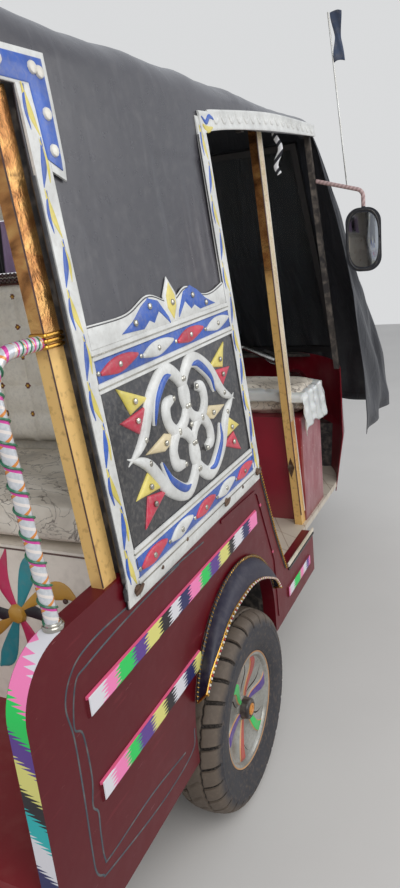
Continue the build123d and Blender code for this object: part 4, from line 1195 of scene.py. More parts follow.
def rubber() -> Paint:
    """Tyre rubber: blue-grey sides with rings, brown dust on the tread and round the bead."""
    graph = Graph("dusty_rubber")
    radius = graph.axes(graph.uv)[1]
    blotch = graph.noise(16.0, 6.0)
    fine = graph.noise(90.0, 5.0)
    side = graph.mix(blotch, tone(36, 36, 41), tone(56, 55, 60))
    tread = graph.mix(fine, tone(112, 98, 84), tone(72, 63, 55))
    wander = graph.slope(blotch, 0.020, radius)
    colour = graph.mix(graph.stretch(wander, 0.256, 0.276), side, tread)
    dust = graph.ramp(fine, [(0.50, 0.0), (0.72, 0.45)])
    colour = graph.mix(dust, colour, tone(112, 98, 86))
    rings = graph.math("SINE", graph.times(radius, 1500.0))
    only = graph.between(radius, 0.172, 0.186)
    height = graph.times(rings, only)
    normal = graph.bump(height, 0.0005, 0.7)
    normal = graph.bump(graph.noise(320.0, 4.0), 0.0008, 0.6, normal)
    return graph.finish(Base_Color=colour, Roughness=graph.slope(fine, 0.3, 0.5),
                        Normal=normal)


# Darker brown finish of the faces deep in the tread's grooves
GROOVE_DARK = Finish("groove_dark", (44, 37, 32), (26, 23, 22), 0.9, patch=30.0, dust=0.3)
RIM_SILVER = Finish("wheel_silver", (176, 176, 170), (140, 138, 130), 0.30, metallic=0.55,
                    patch=18.0, dust=0.5, dust_colour=(0.24, 0.21, 0.17))
RIM_RED = Finish("wheel_red", (182, 66, 50), (150, 48, 40), 0.38, coat=0.2, dust=0.3)
RIM_PURPLE = Finish("wheel_purple", (84, 50, 150), (66, 38, 120), 0.38, coat=0.2, dust=0.3)
RIM_GREEN = Finish("wheel_green", (44, 196, 92), (60, 160, 84), 0.38, coat=0.2, dust=0.3)
RIM_TAN = Finish("wheel_tan_line", (206, 160, 108), (176, 124, 80), 0.45, dust=0.3)
# Near black finish of the slits: painted shade in their creases
PAINTED_SLIT_SHADE = Finish("wheel_slit_painted_shade", (52, 30, 28), (34, 22, 22), 0.7)
HUB_BLACK = Finish("hub_black", (38, 30, 28), (56, 44, 38), 0.42, coat=0.2, dust=0.4)
HUB_ORANGE = Finish("hub_orange", (216, 142, 44), (184, 108, 30), 0.38, coat=0.2, dust=0.3)


class Tape(Enum):
    """Colours of the painted blocks, as screen colours."""

    WHITE = (214, 212, 216)
    PINK = (236, 128, 178)
    GREEN = (46, 196, 92)
    PURPLE = (92, 62, 138)
    YELLOW = (214, 208, 120)
    BLACK = (40, 36, 40)
    NAVY = (44, 46, 92)
    TEAL = (40, 170, 170)


@dataclass
class PanelPaint:
    """Maroon enamel of the side panels, with torn colour blocks on the ribs and the rear edge.

    Ribs and painted highlights are spans of height; tops, slopes and the rear rim are spans of the
    distance from the middle plane. A painted highlight in bright pink lies along each rib's upper
    slope.
    """

    upper: tuple[tuple[float, Tape], ...] = (
        (-0.700, Tape.WHITE), (-0.640, Tape.PINK), (-0.588, Tape.GREEN), (-0.525, Tape.PURPLE),
        (-0.472, Tape.YELLOW), (-0.408, Tape.BLACK), (-0.360, Tape.WHITE), (-0.315, Tape.NAVY),
        (-0.259, Tape.PINK), (-0.202, Tape.GREEN), (-0.141, Tape.PURPLE), (-0.082, Tape.YELLOW),
        (-0.018, Tape.BLACK), (0.018, Tape.WHITE), (0.085, Tape.NAVY), (0.133, Tape.PINK))
    lower: tuple[tuple[float, Tape], ...] = (
        (-0.700, Tape.WHITE), (-0.652, Tape.PINK), (-0.598, Tape.GREEN), (-0.550, Tape.PURPLE),
        (-0.492, Tape.YELLOW), (-0.432, Tape.BLACK), (-0.385, Tape.WHITE), (-0.330, Tape.NAVY),
        (-0.278, Tape.YELLOW), (0.382, Tape.PINK), (0.457, Tape.WHITE), (0.501, Tape.GREEN),
        (0.572, Tape.PINK), (0.615, Tape.WHITE), (0.650, Tape.PURPLE), (0.680, Tape.PINK))
    edge: tuple[tuple[float, Tape], ...] = (
        (0.345, Tape.PINK), (0.385, Tape.GREEN), (0.440, Tape.PURPLE), (0.500, Tape.NAVY),
        (0.561, Tape.WHITE), (0.629, Tape.TEAL), (0.687, Tape.BLACK), (0.733, Tape.YELLOW),
        (0.795, Tape.PURPLE), (0.850, Tape.GREEN), (0.910, Tape.PINK), (0.966, Tape.WHITE))

    upper_rib: Flat = (0.782, 0.826)
    lower_rib: Flat = (0.400, 0.634)
    rib_top: Flat = (0.6452, 0.660)
    rib_slope: Flat = (0.6406, 0.6452)
    # Heights of the painted highlights on the ribs' upper slopes
    upper_painted_highlight: Flat = (0.8205, 0.830)
    lower_painted_highlight: Flat = (0.6285, 0.638)
    rear_rim: Flat = (0.5985, 0.6393)

    def blocks(self, graph: Graph, value: object,
               table: tuple[tuple[float, Tape], ...]) -> Socket:
        """Colours in steps along a value, from a table of starts."""
        low, span = -1.0, 2.0
        stops = [((start - low) / span, tone(*tape.value)) for start, tape in table]
        share = graph.slope(value, 1.0 / span, -low / span)
        return graph.ramp(share, stops, constant=True)

    def make(self) -> Paint:
        """Build the paint.

        Returns:
            The material. Fingers across a block's border come from a saw of the height, which is
            added to the station before the colour steps are read.
        """
        graph = Graph("panel_maroon")
        x, y, z = graph.axes(graph.place)
        station = graph.math("SUBTRACT", REAR_AXLE_Y, y)
        reach = graph.math("ABSOLUTE", x)
        wide = graph.noise(2.2, 6.0)
        fine = graph.noise(26.0, 8.0)
        colour = graph.mix(wide, tone(76, 3, 15), tone(100, 8, 24))
        pale = graph.times(graph.stretch(station, 0.15, 1.2), 0.75)
        colour = graph.mix(pale, colour, tone(126, 32, 46))
        low = graph.times(graph.stretch(graph.slope(wide, 0.3, z), 0.80, 0.45), 0.35)
        colour = graph.mix(low, colour, tone(88, 30, 34))
        grime = graph.ramp(fine, [(0.56, 0.0), (0.84, 0.24)])
        colour = graph.mix(grime, colour, tone(112, 60, 58))
        streak = graph.noise(9.0, 5.0, graph.join(x, y, graph.times(z, 9.0)))
        colour = graph.mix(graph.ramp(streak, [(0.62, 0.0), (0.72, 0.25)]), colour,
                           tone(124, 42, 52))
        scratch = graph.noise(30.0, 2.0, graph.join(0.0, graph.times(y, 0.5),
                                                    graph.times(z, 14.0)))
        colour = graph.mix(graph.ramp(scratch, [(0.745, 0.0), (0.76, 0.5)]), colour,
                           tone(186, 140, 140))
        saw = graph.math("PINGPONG", z, 0.0042)
        ragged = graph.noise(170.0, 2.0, graph.join(0.0, 0.0, z))
        torn = graph.slope(saw, 5.5, station)
        torn = graph.slope(ragged, 0.030, torn)
        torn = graph.math("SUBTRACT", torn, 0.024)
        top = graph.between(reach, *self.rib_top)
        for table, rib in ((self.upper, self.upper_rib), (self.lower, self.lower_rib)):
            on_rib = graph.times(top, graph.between(z, *rib))
            colour = graph.mix(on_rib, colour, self.blocks(graph, torn, table))
        # Painted highlight: a bright pink line on the upper slopes of both ribs
        slope = graph.between(reach, *self.rib_slope)
        upper_slopes = graph.math("ADD", graph.between(z, *self.upper_painted_highlight),
                                  graph.between(z, *self.lower_painted_highlight))
        painted_highlight = graph.times(graph.times(slope, upper_slopes), 0.85)
        colour = graph.mix(painted_highlight, colour, tone(214, 84, 122))
        share = graph.slope(reach, 0.75, -0.465)
        fingers = graph.math("ADD", z, share)
        fingers = graph.slope(saw, 5.0, fingers)
        fingers = graph.math("SUBTRACT", fingers, 0.010)
        rim = graph.times(graph.between(reach, *self.rear_rim),
                          graph.math("LESS_THAN", station, -0.722))
        rear = graph.math("LESS_THAN", station, -0.8425)
        corner = graph.math("GREATER_THAN", z, 0.871)
        band = graph.times(rim, graph.math("MAXIMUM", rear, corner))
        colour = graph.mix(band, colour, self.blocks(graph, fingers, self.edge))
        rough = graph.slope(fine, 0.30, 0.22)
        normal = graph.bump(graph.noise(3.5, 4.0), 0.006, 0.5)
        normal = graph.bump(graph.noise(420.0, 2.0), 0.00015, 0.5, normal)
        return graph.finish(Base_Color=colour, Roughness=rough, Specular_IOR_Level=0.22,
                            Coat_Weight=0.08, Coat_Roughness=0.15, Normal=normal)


@dataclass
class LowerBody:
    """Side panels, worn pinstripes, bead trims, flares and the sill.

    The arch is given by its middle's station and height and by its radius, and the flare by its
    X at the arch and at the brow.
    """

    outer_line: tuple[Flat, ...] = (
        (-0.149, 0.887), (-0.531, 0.915), (-0.665, 0.915), (-0.720, 0.892), (-0.745, 0.846),
        (-0.737, 0.774), (-0.738, 0.661), (-0.743, 0.526), (-0.742, 0.470), (-0.725, 0.444),
        (-0.696, 0.431), (-0.484, 0.397), (-0.328, 0.401), (-0.303, 0.453))
    inner_line: tuple[Flat, ...] = (
        (-0.285, 0.894), (-0.501, 0.893), (-0.666, 0.883), (-0.709, 0.870), (-0.732, 0.794),
        (-0.712, 0.763), (-0.708, 0.664), (-0.719, 0.607), (-0.707, 0.580), (-0.711, 0.531),
        (-0.711, 0.470), (-0.689, 0.458), (-0.523, 0.452), (-0.360, 0.427))
    brow: tuple[Flat, ...] = ((0.268, 0.545), (0.236, 0.582), (0.186, 0.618), (0.113, 0.657),
                              (0.042, 0.678), (-0.029, 0.681), (-0.107, 0.673),
                              (-0.164, 0.653), (-0.244, 0.599), (-0.290, 0.558))
    door_edge: tuple[Flat, ...] = ((0.258, 0.946), (0.300, 0.838), (0.360, 0.685), (0.440, 0.520))
    sill: Flat = (0.466, 0.770)
    arch: Point = (0.010, 0.430, 0.306)
    flare_x: Flat = (0.644, 0.685)

    def build(self) -> None:
        """Dress the panels and make what is fixed on them."""
        paint = PanelPaint().make()
        dress(["side_panel_right", "side_panel_left", "tail_panel"], paint)
        for side, hand in SIDES:
            art = Applique(Sheet2D(side, HALF_WIDTH, False), Batch())
            for line in (self.outer_line, self.inner_line):
                art.stroke(list(line), [0.0022] * len(line), 0, 0.0, 0.0008, 8)
            art.batch.place("pinstripes_" + hand, "maroon_paint", [PINSTRIPE])
            self.rib_end(side, hand, paint)
            self.trims(side, hand)
            self.flare(side, hand)

    def rib_end(self, side: int, hand: str, paint: Paint) -> None:
        """Carry the lower rib on to the arch: its sloped section run between two stations."""
        section = np.array([(0.5880, -0.004), (0.5880, 0.0), (0.5929, 0.007), (0.6311, 0.007),
                            (0.6360, 0.0), (0.6360, -0.004)])
        station = np.array([-0.304, -0.270, -0.238])[:, None]
        batch = Batch()
        batch.solid(Sheet2D(side, HALF_WIDTH, False).lay(joined(station, *section.T)))
        batch.place("rib_end_" + hand, "maroon_paint", [paint], crease=30.0)

    def trims(self, side: int, hand: str) -> None:
        """Add the beaded trim of the slanted door edge and the pale sill."""
        art = Applique(Sheet2D(side, HALF_WIDTH, False), Batch())
        art.stroke(list(self.door_edge), [0.007] * 4, 1, 0.0, 0.004, 8)
        edge = even(np.array([(s, z, 0.0) for s, z in self.door_edge]), 0.0105)
        beads = art.plane.lay(np.column_stack([edge[:, 0] - 0.002, edge[:, 1],
                                               np.full(len(edge), 0.0045)]))
        art.batch.copies(ball(0.0036), beads, None, 2)
        rear, front = self.sill
        for finish, low, high in ((0, 0.506, 0.519), (1, 0.494, 0.501)):
            art.band([(rear, low), (front, low), (front, high), (rear, high)], finish, 0.0,
                     0.0045)
        art.batch.place("door_trim_" + hand, "gold_foil", [SILL_CREAM, PIPING, GOLD])

    def flare(self, side: int, hand: str) -> None:
        """Add a flare with piping and beads.

        The surface runs straight from the arch to the brow, narrower at both feet, and swells
        between them by a sine.
        """
        share = np.linspace(0.0, 1.0, 73)[:, None]
        station, height, radius = self.arch
        turn = np.radians(16.2 + share * 147.6)
        inner = np.concatenate([self.flare_x[0] + 0 * share, station + radius * np.cos(turn),
                                height + radius * np.sin(turn)], 1)
        line = even(smooth_line(np.array(self.brow), 8), 0.004)
        outer = sampled(line, along(line) / along(line)[-1], share[:, 0])
        outer = np.column_stack([self.flare_x[1] + 0 * share, outer])
        narrow = 0.80 + 0.20 * step_up(np.minimum(share, 1 - share), 0.0, 0.22)
        v = np.linspace(0.0, 1.0, 13)[:, None]
        face = inner[:, None] + (outer - inner)[:, None] * (narrow[..., None] * v)
        face = face + 0.011 * np.sin(math.pi * v) * np.array([0.6, 0.0, 0.8])
        face = joined(side * face[..., 0], ahead(face[..., 1]), face[..., 2])
        batch = Batch()
        batch.slab(face, face - np.array([side * 0.0025, 0.0, 0.0035]))
        top, brow = face[:, 0], face[:, -1]
        out = np.array([side * 0.003, 0, 0])
        piping = top + out + np.array([0, 0, 0.002])
        batch.tube(piping, 0.0038, 8, 1)
        batch.tube(coil(piping, 0.0034, 0.011, 8), 0.0015, 5, 2)
        batch.tube(brow + np.array([0, 0, -0.001]), 0.0032, 8, 2)
        for k in (0, -1):
            batch.tube(even(np.vstack([top[k] + out, brow[k]]), 0.006), 0.0034, 8, 2)
        places = even(brow + np.array([side * 0.0035, 0, -0.001]), 0.0078)
        for start, finish in enumerate((2, 3, 4, 3)):
            batch.copies(ball(0.0036), places[start::4], None, finish)
        batch.place("flare_" + hand, "navy_vinyl",
                    [NAVY_VINYL, PIPING, GOLD, BEAD_WHITE, BEAD_RED],
                    *(("wheel_flares",) if side < 0 else ()))


SILL_CREAM = Finish("sill_cream", (222, 214, 196), (186, 172, 150), 0.45, dust=0.45)
NAVY_VINYL = Finish("flare_navy_vinyl", (18, 16, 40), (32, 28, 50), 0.46,
                    patch=9.0, ripple=0.0015, ripple_scale=24.0, dust=0.22,
                    dust_colour=(0.16, 0.14, 0.14))


class Trim(IntEnum):
    """Numbers of the finishes in the valances."""

    BLACK = 0
    WHITE = 1
    BLUE = 2
    YELLOW = 3
    DISC = 4


@dataclass
class Canopy:
    """Roof and sides as one stretched vinyl sheet, with valances, piping and gathered pleats."""

    rear: float = -0.870
    front: float = 1.325
    side_rear: float = -0.520
    side_front: float = 0.240
    foot: float = 1.880
    shoulder: float = 2.010
    crown: float = 2.100
    wall: float = 0.005
    side_drop: float = 0.970
    turned_in: float = 0.058
    hoops: tuple[float, ...] = (-0.850, -0.498, -0.034, 0.226, 0.560, 1.310)

    def outline(self, count: int) -> Array:
        """Section of the roof from the right foot to the left foot, as X and height.

        Straight leaning sides and a crown arc, joined at each shoulder by a parabola.
        """
        half = self.skin_x(self.shoulder)
        rise = self.crown - self.shoulder
        big = (half ** 2 + rise ** 2) / (2 * rise)
        turn = np.linspace(-math.asin(half / big), 0.0, 30)
        arc = np.column_stack([big * np.sin(turn), self.crown - big + big * np.cos(turn)])
        foot = np.array([-self.skin_x(self.foot), self.foot])
        corner, reach = np.array([-half, self.shoulder]), 0.064
        beyond = arc[along(arc) > reach]
        bend = parabola(corner + unit(foot - corner) * reach, corner, beyond[0], 14)
        left = even(np.vstack([foot, bend, beyond[1:]]), 0.004)
        line = sampled(left, along(left) / along(left)[-1], np.linspace(0.0, 1.0, count // 2 + 1))
        return np.vstack([line, line[-2::-1] * (-1, 1)])

    def skin_x(self, height: float | Array) -> float | Array:
        """Half width of the skin at a height."""
        return SKIN - np.maximum(0.0, height - BELT) * math.tan(LEAN)

    def build(self) -> None:
        """Make the sheet, its trims and the valances."""
        self.sheet()
        for side, hand in SIDES:
            self.trims(side, hand)

    def sheet(self) -> None:
        """Make the sheet: the outline run along the stations, sagging between the hoops.

        The sag is a sine between two hoops, with a ripple of two crossed sines over it and
        gathers at both ends that fade away from them. Ahead of the sides the foot rises to the
        front, and each end turns in along the outline's normal.
        """
        section = self.outline(72)
        normal = np.gradient(section, axis=0)
        normal = unit(np.column_stack([-normal[:, 1], normal[:, 0]]))
        stations = np.unique(np.concatenate([
            np.linspace(self.rear, self.side_rear, 30),
            np.linspace(self.side_rear, self.side_front, 60),
            np.linspace(self.side_front, self.front, 80), [self.side_front + 0.012]]).round(5))
        sag = np.zeros(len(stations))
        for rear, front in zip(self.hoops, self.hoops[1:]):
            inside = (stations > rear) & (stations < front)
            share = (stations[inside] - rear) / (front - rear)
            sag[inside] = -0.010 * min(1.0, (front - rear) / 0.5) * np.sin(math.pi * share)
        past = stations - self.side_front
        edge = np.where(past > 0, 0.005 + 0.063 * past / (self.front - self.side_front), 0.0)
        edge = np.where((past > 0) & (past < 0.013), 0.005, edge)
        across, height = section.T[:, None]
        low = np.clip((1.96 - height) / (1.96 - self.foot), 0.0, 1.0)
        lifted = height + edge[:, None] * low
        s, v = stations[:, None], np.linspace(-1.0, 1.0, len(section))
        ripple = 0.0012 * np.sin(46.0 * s + 9.0 * v) * np.sin(13.0 * v + 5.0 * s)
        end = np.exp(-np.minimum(s - self.rear, self.front - s) / 0.05)
        lift = (sag[:, None] + ripple) * step_up(height, 1.94, 2.04) \
            - 0.0015 * end * (1 + np.sin(180.0 * v))
        x = across + normal[:, 0] * lift
        x = np.sign(x) * (np.abs(x) - (lifted - height) * math.tan(LEAN))
        roof = joined(x, ahead(s), lifted + normal[:, 1] * lift)
        turn = np.linspace(0.0, 1.0, len(section))
        batch = Batch()
        batch.grid(roof, u=stations, v=turn)
        inset = np.array([0.0, 0.006, 0.030, self.turned_in])[:, None]
        for row, station, inward in ((0, self.rear, 0.0015), (-1, self.front, -0.0015)):
            flange = joined(across - normal[:, 0] * inset, ahead(station) + inward * (inset > 0),
                            np.maximum(height - normal[:, 1] * inset, self.foot - 0.002)
                            + edge[row] * low)
            flange[0] = roof[row]
            batch.grid(flange, u=np.linspace(0.0, 0.06, 4), v=turn)
        inside = (stations >= self.side_rear - 1e-6) & (stations <= self.side_front + 1e-6)
        span = stations[inside]
        depth = np.concatenate([np.linspace(0.0, 0.46, 46), np.linspace(0.47, 0.89, 22),
                                [0.930, self.side_drop]])
        half = self.skin_x(self.foot - depth) + self.side_lift(span[:, None], depth)
        for side in (-1, 1):
            panel = joined(side * half, ahead(span[:, None]), self.foot - depth)
            panel[:, 0] = roof[inside][:, 0 if side < 0 else -1]
            batch.grid(panel, u=span, v=-depth)
        piece = batch.mesh("canopy_sheet", [canopy_vinyl()], 50.0, 0.0002)
        if np.mean([f.normal.z * f.area for f in piece.data.polygons]) < 0:
            piece.data.flip_normals()
        thicken(piece, self.wall, -1.0)
        place_piece(piece, "body", "black_vinyl", "canopy_roof", "canopy_side_right",
                    "canopy_side_left")

    def side_lift(self, span: Array, depth: Array) -> Array:
        """How far a side stands off its plane.

        Soft waves are two crossed sines. Pleats are a sine of the station whose phase wanders,
        between two heights, and only towards the door.

        Args:
            span: Stations, as a column.
            depth: Distances below the sheet's foot.

        Returns:
            The lift at each station and depth, 0 along the sheet's upper and lower edge.
        """
        z = self.foot - depth
        pleat = np.sin(span * 150.0 + 2.5 * np.sin(span * 31.0)) * step_up(span, -0.08, 0.10) \
            * step_up(z, 1.44, 1.52) * (1 - step_up(z, 1.60, 1.80))
        soft = np.sin(9.0 * span + 3.0 * z) * np.sin(7.0 * z + 1.0)
        lift = -0.0022 * (1 + pleat) * (pleat != 0) - 0.002 * (1 + soft) * step_up(z, 1.50, 1.62)
        return lift * step_up(depth, 0.0, 0.06) * step_up(self.side_drop - depth, 0.0, 0.05)

    def trims(self, side: int, hand: str) -> None:
        """Add the piping, the door-top valance and the valance of the rear opening."""
        art = Applique(Sheet2D(side), Batch())
        for station, low, high, lift, radius, sides in ((-0.5255, 0.935, 1.735, 0.001, 0.0045, 8),
                                                        (-0.4735, 0.96, 1.86, 0.0035, 0.0022, 6),
                                                        (0.1885, 0.96, 1.86, 0.0035, 0.0022, 6)):
            line = art.plane.lay(joined(station, np.linspace(low, high, 40), lift))
            art.batch.tube(line, radius, sides, Trim.BLACK)
        self.door_valance(art)
        self.rear_valance(art)
        art.batch.place("valance_" + hand, "cream_vinyl",
                        [PIPING, WHITE, BLUE, YELLOW, BEAD_WHITE])

    def door_valance(self, art: Applique) -> None:
        """Add the white valance over the door with a scalloped relief.

        The band runs straight from its lower to its upper line, with rolled and piped edges.
        """
        upper = smooth_line(np.array([(0.205, 1.918), (0.26, 1.922), (0.317, 1.932),
                                      (0.799, 1.975), (1.322, 1.990)]), 14)
        lower = smooth_line(np.array([(0.215, 1.852), (0.262, 1.872), (0.45, 1.894),
                                      (0.812, 1.921), (1.322, 1.946)]), 14)
        v = np.array([0.0, 0.0, 0.05, 0.14, 0.20, 0.80, 0.86, 0.94, 1.0, 1.0])[:, None]
        crown = np.array([-0.4, 0.7, 1.0, 1.0, 0.7, 0.7, 1.0, 1.0, 0.6, -0.4]) * 0.004 + 0.0035
        art.skin(lower[:, None] * (1 - v) + upper[:, None] * v, crown, Trim.WHITE)
        count = 17
        for step in range(count):
            at = 0.285 + (step + 0.5) / count * 1.02
            mid = np.interp(at, upper[:, 0], upper[:, 1]) - 0.022
            art.stroke([(at - 0.024, mid + 0.011), (at - 0.012, mid - 0.006), (at, mid - 0.010),
                        (at + 0.014, mid - 0.002), (at + 0.026, mid + 0.011)],
                       [0.002, 0.0045, 0.006, 0.0045, 0.002], Trim.WHITE, 0.0055, 0.004, 4)
        art.stroke([(0.220, 1.905), (0.245, 1.893), (0.272, 1.910), (0.300, 1.905)],
                   [0.002, 0.006, 0.006, 0.002], Trim.BLUE, 0.006, 0.003)
        art.stroke([(0.222, 1.885), (0.250, 1.876), (0.285, 1.884)], [0.003, 0.009, 0.002],
                   Trim.YELLOW, 0.006, 0.003)

    def rear_valance(self, art: Applique) -> None:
        """Add the blue band with white discs over the rear opening, and its leg.

        The band runs straight between two lines that turn down together; the blue one lies
        inside the white one and ends before it.
        """
        outer = np.array([(-0.866, 1.950), (-0.70, 1.945), (-0.56, 1.938), (-0.423, 1.941),
                          (-0.423, 1.86), (-0.426, 1.76), (-0.432, 1.728)])
        inner = np.array([(-0.866, 1.884), (-0.70, 1.882), (-0.56, 1.881), (-0.490, 1.880),
                          (-0.488, 1.85), (-0.485, 1.79), (-0.482, 1.748)])
        upper, lower = (sampled(line, np.arange(7), np.linspace(0, 6, 61))
                        for line in (outer, inner))
        for inset, finish, lift, tall, end in ((0.0, Trim.WHITE, 0.002, 0.003, 61),
                                               (0.20, Trim.BLUE, 0.005, 0.002, 57)):
            v = np.array([0.0, 0.0, 0.06, 0.5, 0.94, 1.0, 1.0])[:, None]
            v = inset + v * (1 - 1.35 * inset)
            crown = np.array([-0.4, 0.4, 1.0, 1.0, 1.0, 0.4, -0.4]) * tall + lift
            art.skin(upper[:end, None] * (1 - v) + lower[:end, None] * v, crown, finish)
        spots = [(-0.83 + 0.090 * k, 1.913 - 0.0008 * k) for k in range(5)]
        spots += [(-0.452, 1.905), (-0.455, 1.838), (-0.457, 1.778)]
        art.studs(spots, 0.0115, Trim.DISC, 0.0065)


HOOP_PAINT = Finish("hoop_black", (38, 36, 38), (58, 52, 48), 0.5, dust=0.5)


def canopy_vinyl() -> Paint:
    """Glossy dark grey vinyl with a plum patch on each side, creases, dust and pale scuffs."""
    graph = Graph("canopy_vinyl")
    x, y, z = graph.axes(graph.place)
    wide = graph.noise(1.6, 5.0)
    fine = graph.noise(38.0, 8.0)
    colour = graph.mix(wide, tone(47, 46, 51), tone(67, 65, 71))
    plum = graph.stretch(graph.far(z, 1.56), 0.20, 0.02)
    near = graph.stretch(graph.far(y, 0.60), 0.16, 0.04)
    shade = graph.times(graph.times(plum, near), 0.75)
    colour = graph.mix(shade, colour, tone(44, 36, 44))
    grime = graph.ramp(fine, [(0.52, 0.0), (0.82, 0.22)])
    colour = graph.mix(grime, colour, tone(118, 114, 112))
    streak = graph.noise(14.0, 5.0, graph.join(x, graph.times(y, 3.0),
                                               graph.times(z, 0.5)))
    colour = graph.mix(graph.ramp(streak, [(0.58, 0.0), (0.72, 0.16)]), colour,
                       tone(110, 108, 112))
    crease = graph.noise(5.0, 4.0, graph.join(graph.times(x, 1.5), y,
                                              graph.times(z, 0.6)), 0.6)
    normal = graph.bump(crease, 0.012, 0.35)
    normal = graph.bump(graph.noise(700.0, 2.0), 0.0002, 0.6, normal)
    return graph.finish(Base_Color=colour, Roughness=graph.slope(fine, 0.2, 0.20),
                        Coat_Weight=0.3, Coat_Roughness=0.2, Normal=normal)


@dataclass
class Posts:
    """Gold foil on the four posts, with clamps, diamonds and edge strips.

    A post is known by the X and height of its foot and the stations of its two faces.
    """

    rear_foot: Flat = (0.619, 0.985)
    rear_faces: Flat = (-0.574, -0.528)
    front_foot: Flat = (0.573, 0.505)
    front_faces: Flat = (0.8137, 0.8597)
    front_lean: float = math.tan(math.radians(3.3))

    def build(self) -> None:
        """Dress the posts and make what is fixed on them."""
        dress(["gold_posts"], self.foil())
        batch = Batch()
        for side, _ in SIDES:
            self.rear(batch, side)
            self.front(batch, side)
        batch.place("post_fittings", "gold_foil",
                    [GOLD, DIAMOND, PALE_FACE, PIPING, STRAP, DARK_BEADS, WHITE])

    def foil(self) -> Paint:
        """Mirror foil, crinkled above the rail and flat below, by height."""
        graph = Graph("post_foil")
        x, y, z = graph.axes(graph.place)
        high = graph.stretch(z, 1.42, 1.50)
        brown = graph.noise(7.0, 5.0, graph.join(x, y, graph.times(z, 1.6)), 1.2)
        mirror = graph.ramp(brown, [(0.34, tone(92, 58, 34)), (0.48, tone(176, 122, 72)),
                                    (0.60, tone(204, 158, 96)), (0.72, tone(104, 76, 42))])
        plain = graph.mix(graph.noise(11.0, 6.0), tone(238, 198, 128), tone(222, 178, 104))
        plain = graph.mix(graph.ramp(graph.noise(70.0, 6.0), [(0.55, 0.0), (0.72, 0.55)]), plain,
                          tone(150, 112, 60))
        colour = graph.mix(high, plain, mirror)
        crinkle = graph.noise(52.0, 6.0, None, 1.4)
        normal = graph.bump(crinkle, 0.0016, graph.slope(high, 0.65, 0.12))
        rough = graph.slope(high, -0.18, 0.40)
        metal = graph.slope(high, 0.45, 0.40)
        return graph.finish(Base_Color=colour, Roughness=rough, Metallic=metal, Normal=normal)

    def rear(self, batch: Batch, side: int) -> None:
        """Add the edge strip, straight along the leaning post, and its clamp of three rings."""
        def x_at(height: float | Array) -> float | Array:
            """X of the post's middle at a height."""
            return self.rear_foot[0] - (height - self.rear_foot[1]) * math.tan(LEAN)
        y_rear, y_front = (ahead(station) for station in self.rear_faces)
        h = np.linspace(0.988, 1.872, 40)
        batch.tube(joined(side * (x_at(h) + 0.0138), y_rear + 0.0002, h), 0.0016, 8, 5)
        height, half = 1.462, 0.016
        clamp = [(side * (x_at(height) + dx), y, height) for dx, y in
                 ((-half, y_rear + 0.002), (half, y_rear + 0.002), (half, y_front - 0.002),
                  (-half, y_front - 0.002))]
        ring = rounded(clamp + clamp[:1], 0.003, 4)
        for lift in (-0.010, 0.0, 0.010):
            batch.tube(ring + np.array([0, 0, lift]), 0.0042, 8, 0)

    def front(self, batch: Batch, side: int) -> None:
        """Add the pale face, edge strips, dark diamond and patterned strap of a front post.

        The face and the strips lean with the post, the diamond narrows straight to both ends,
        and the strap hangs down with a slight sine.
        """
        def x_at(height: float | Array) -> float | Array:
            """X of the post's middle at a height."""
            return self.front_foot[0] - (height - self.front_foot[1]) * self.front_lean
        y_rear, y_front = (ahead(station) for station in self.front_faces)
        h = np.linspace(0.92, 1.965, 60)[:, None]
        wall = 0.0026
        skin = joined(side * (x_at(h) + 0.0143 + wall),
                      np.linspace(y_rear - 0.001, y_front + 0.001, 5), h)
        batch.slab(skin, skin - np.array([side * wall, 0.0, 0.0]), 2)
        h = np.linspace(0.51, 1.96, 40)
        h = h[h > 0.52]
        for y_edge, finish in ((y_front, 6), (y_rear + 0.0004, 5)):
            batch.tube(joined(side * (x_at(h) + 0.0150), y_edge, h), 0.0024, 8, finish)
        u = np.linspace(-1.0, 1.0, 9)[:, None]
        v = np.linspace(-1.0, 1.0, 7)
        diamond = joined(side * x_at(0.80) + 0.0135 * v * (1 - np.abs(u)), y_rear + 0.0022,
                         0.740 + 0.040 * u)
        batch.slab(diamond, diamond - np.array([0, 0.0022, 0]), 1)
        k = np.arange(17)
        strap = joined(side * (0.548 - 0.01 * np.sin(k * 0.6)), ahead(0.905), 1.955 - 0.010 * k)
        batch.tube(strap, 0.009, 10, 4, 0.35, (0.0, 1.0, 0.0))


DIAMOND = Finish("dark_diamond", (74, 44, 22), (48, 30, 18), 0.4, dust=0.3)
PALE_FACE = Finish("pale_post_face", (224, 206, 172), (200, 176, 136), 0.25, coat=0.4,
                   dust=0.3)


@dataclass(frozen=True)
class StrapPrint:
    """Black and white print of the hanging strap."""

    pitch: float = 0.020

    def make(self) -> Paint:
        """Build the print: slanted steps of the height."""
        graph = Graph("strap_print")
        x, _, z = graph.axes(graph.place)
        wave = graph.math("PINGPONG", graph.math("ADD", z, x), self.pitch)
        colour = graph.ramp(graph.math("DIVIDE", wave, self.pitch),
                            [(0.0, tone(226, 226, 228)), (0.62, tone(40, 40, 48))], True)
        return graph.finish(Base_Color=colour, Roughness=0.8,
                            Normal=graph.bump(graph.noise(800.0), 0.0003))


STRAP = StrapPrint()


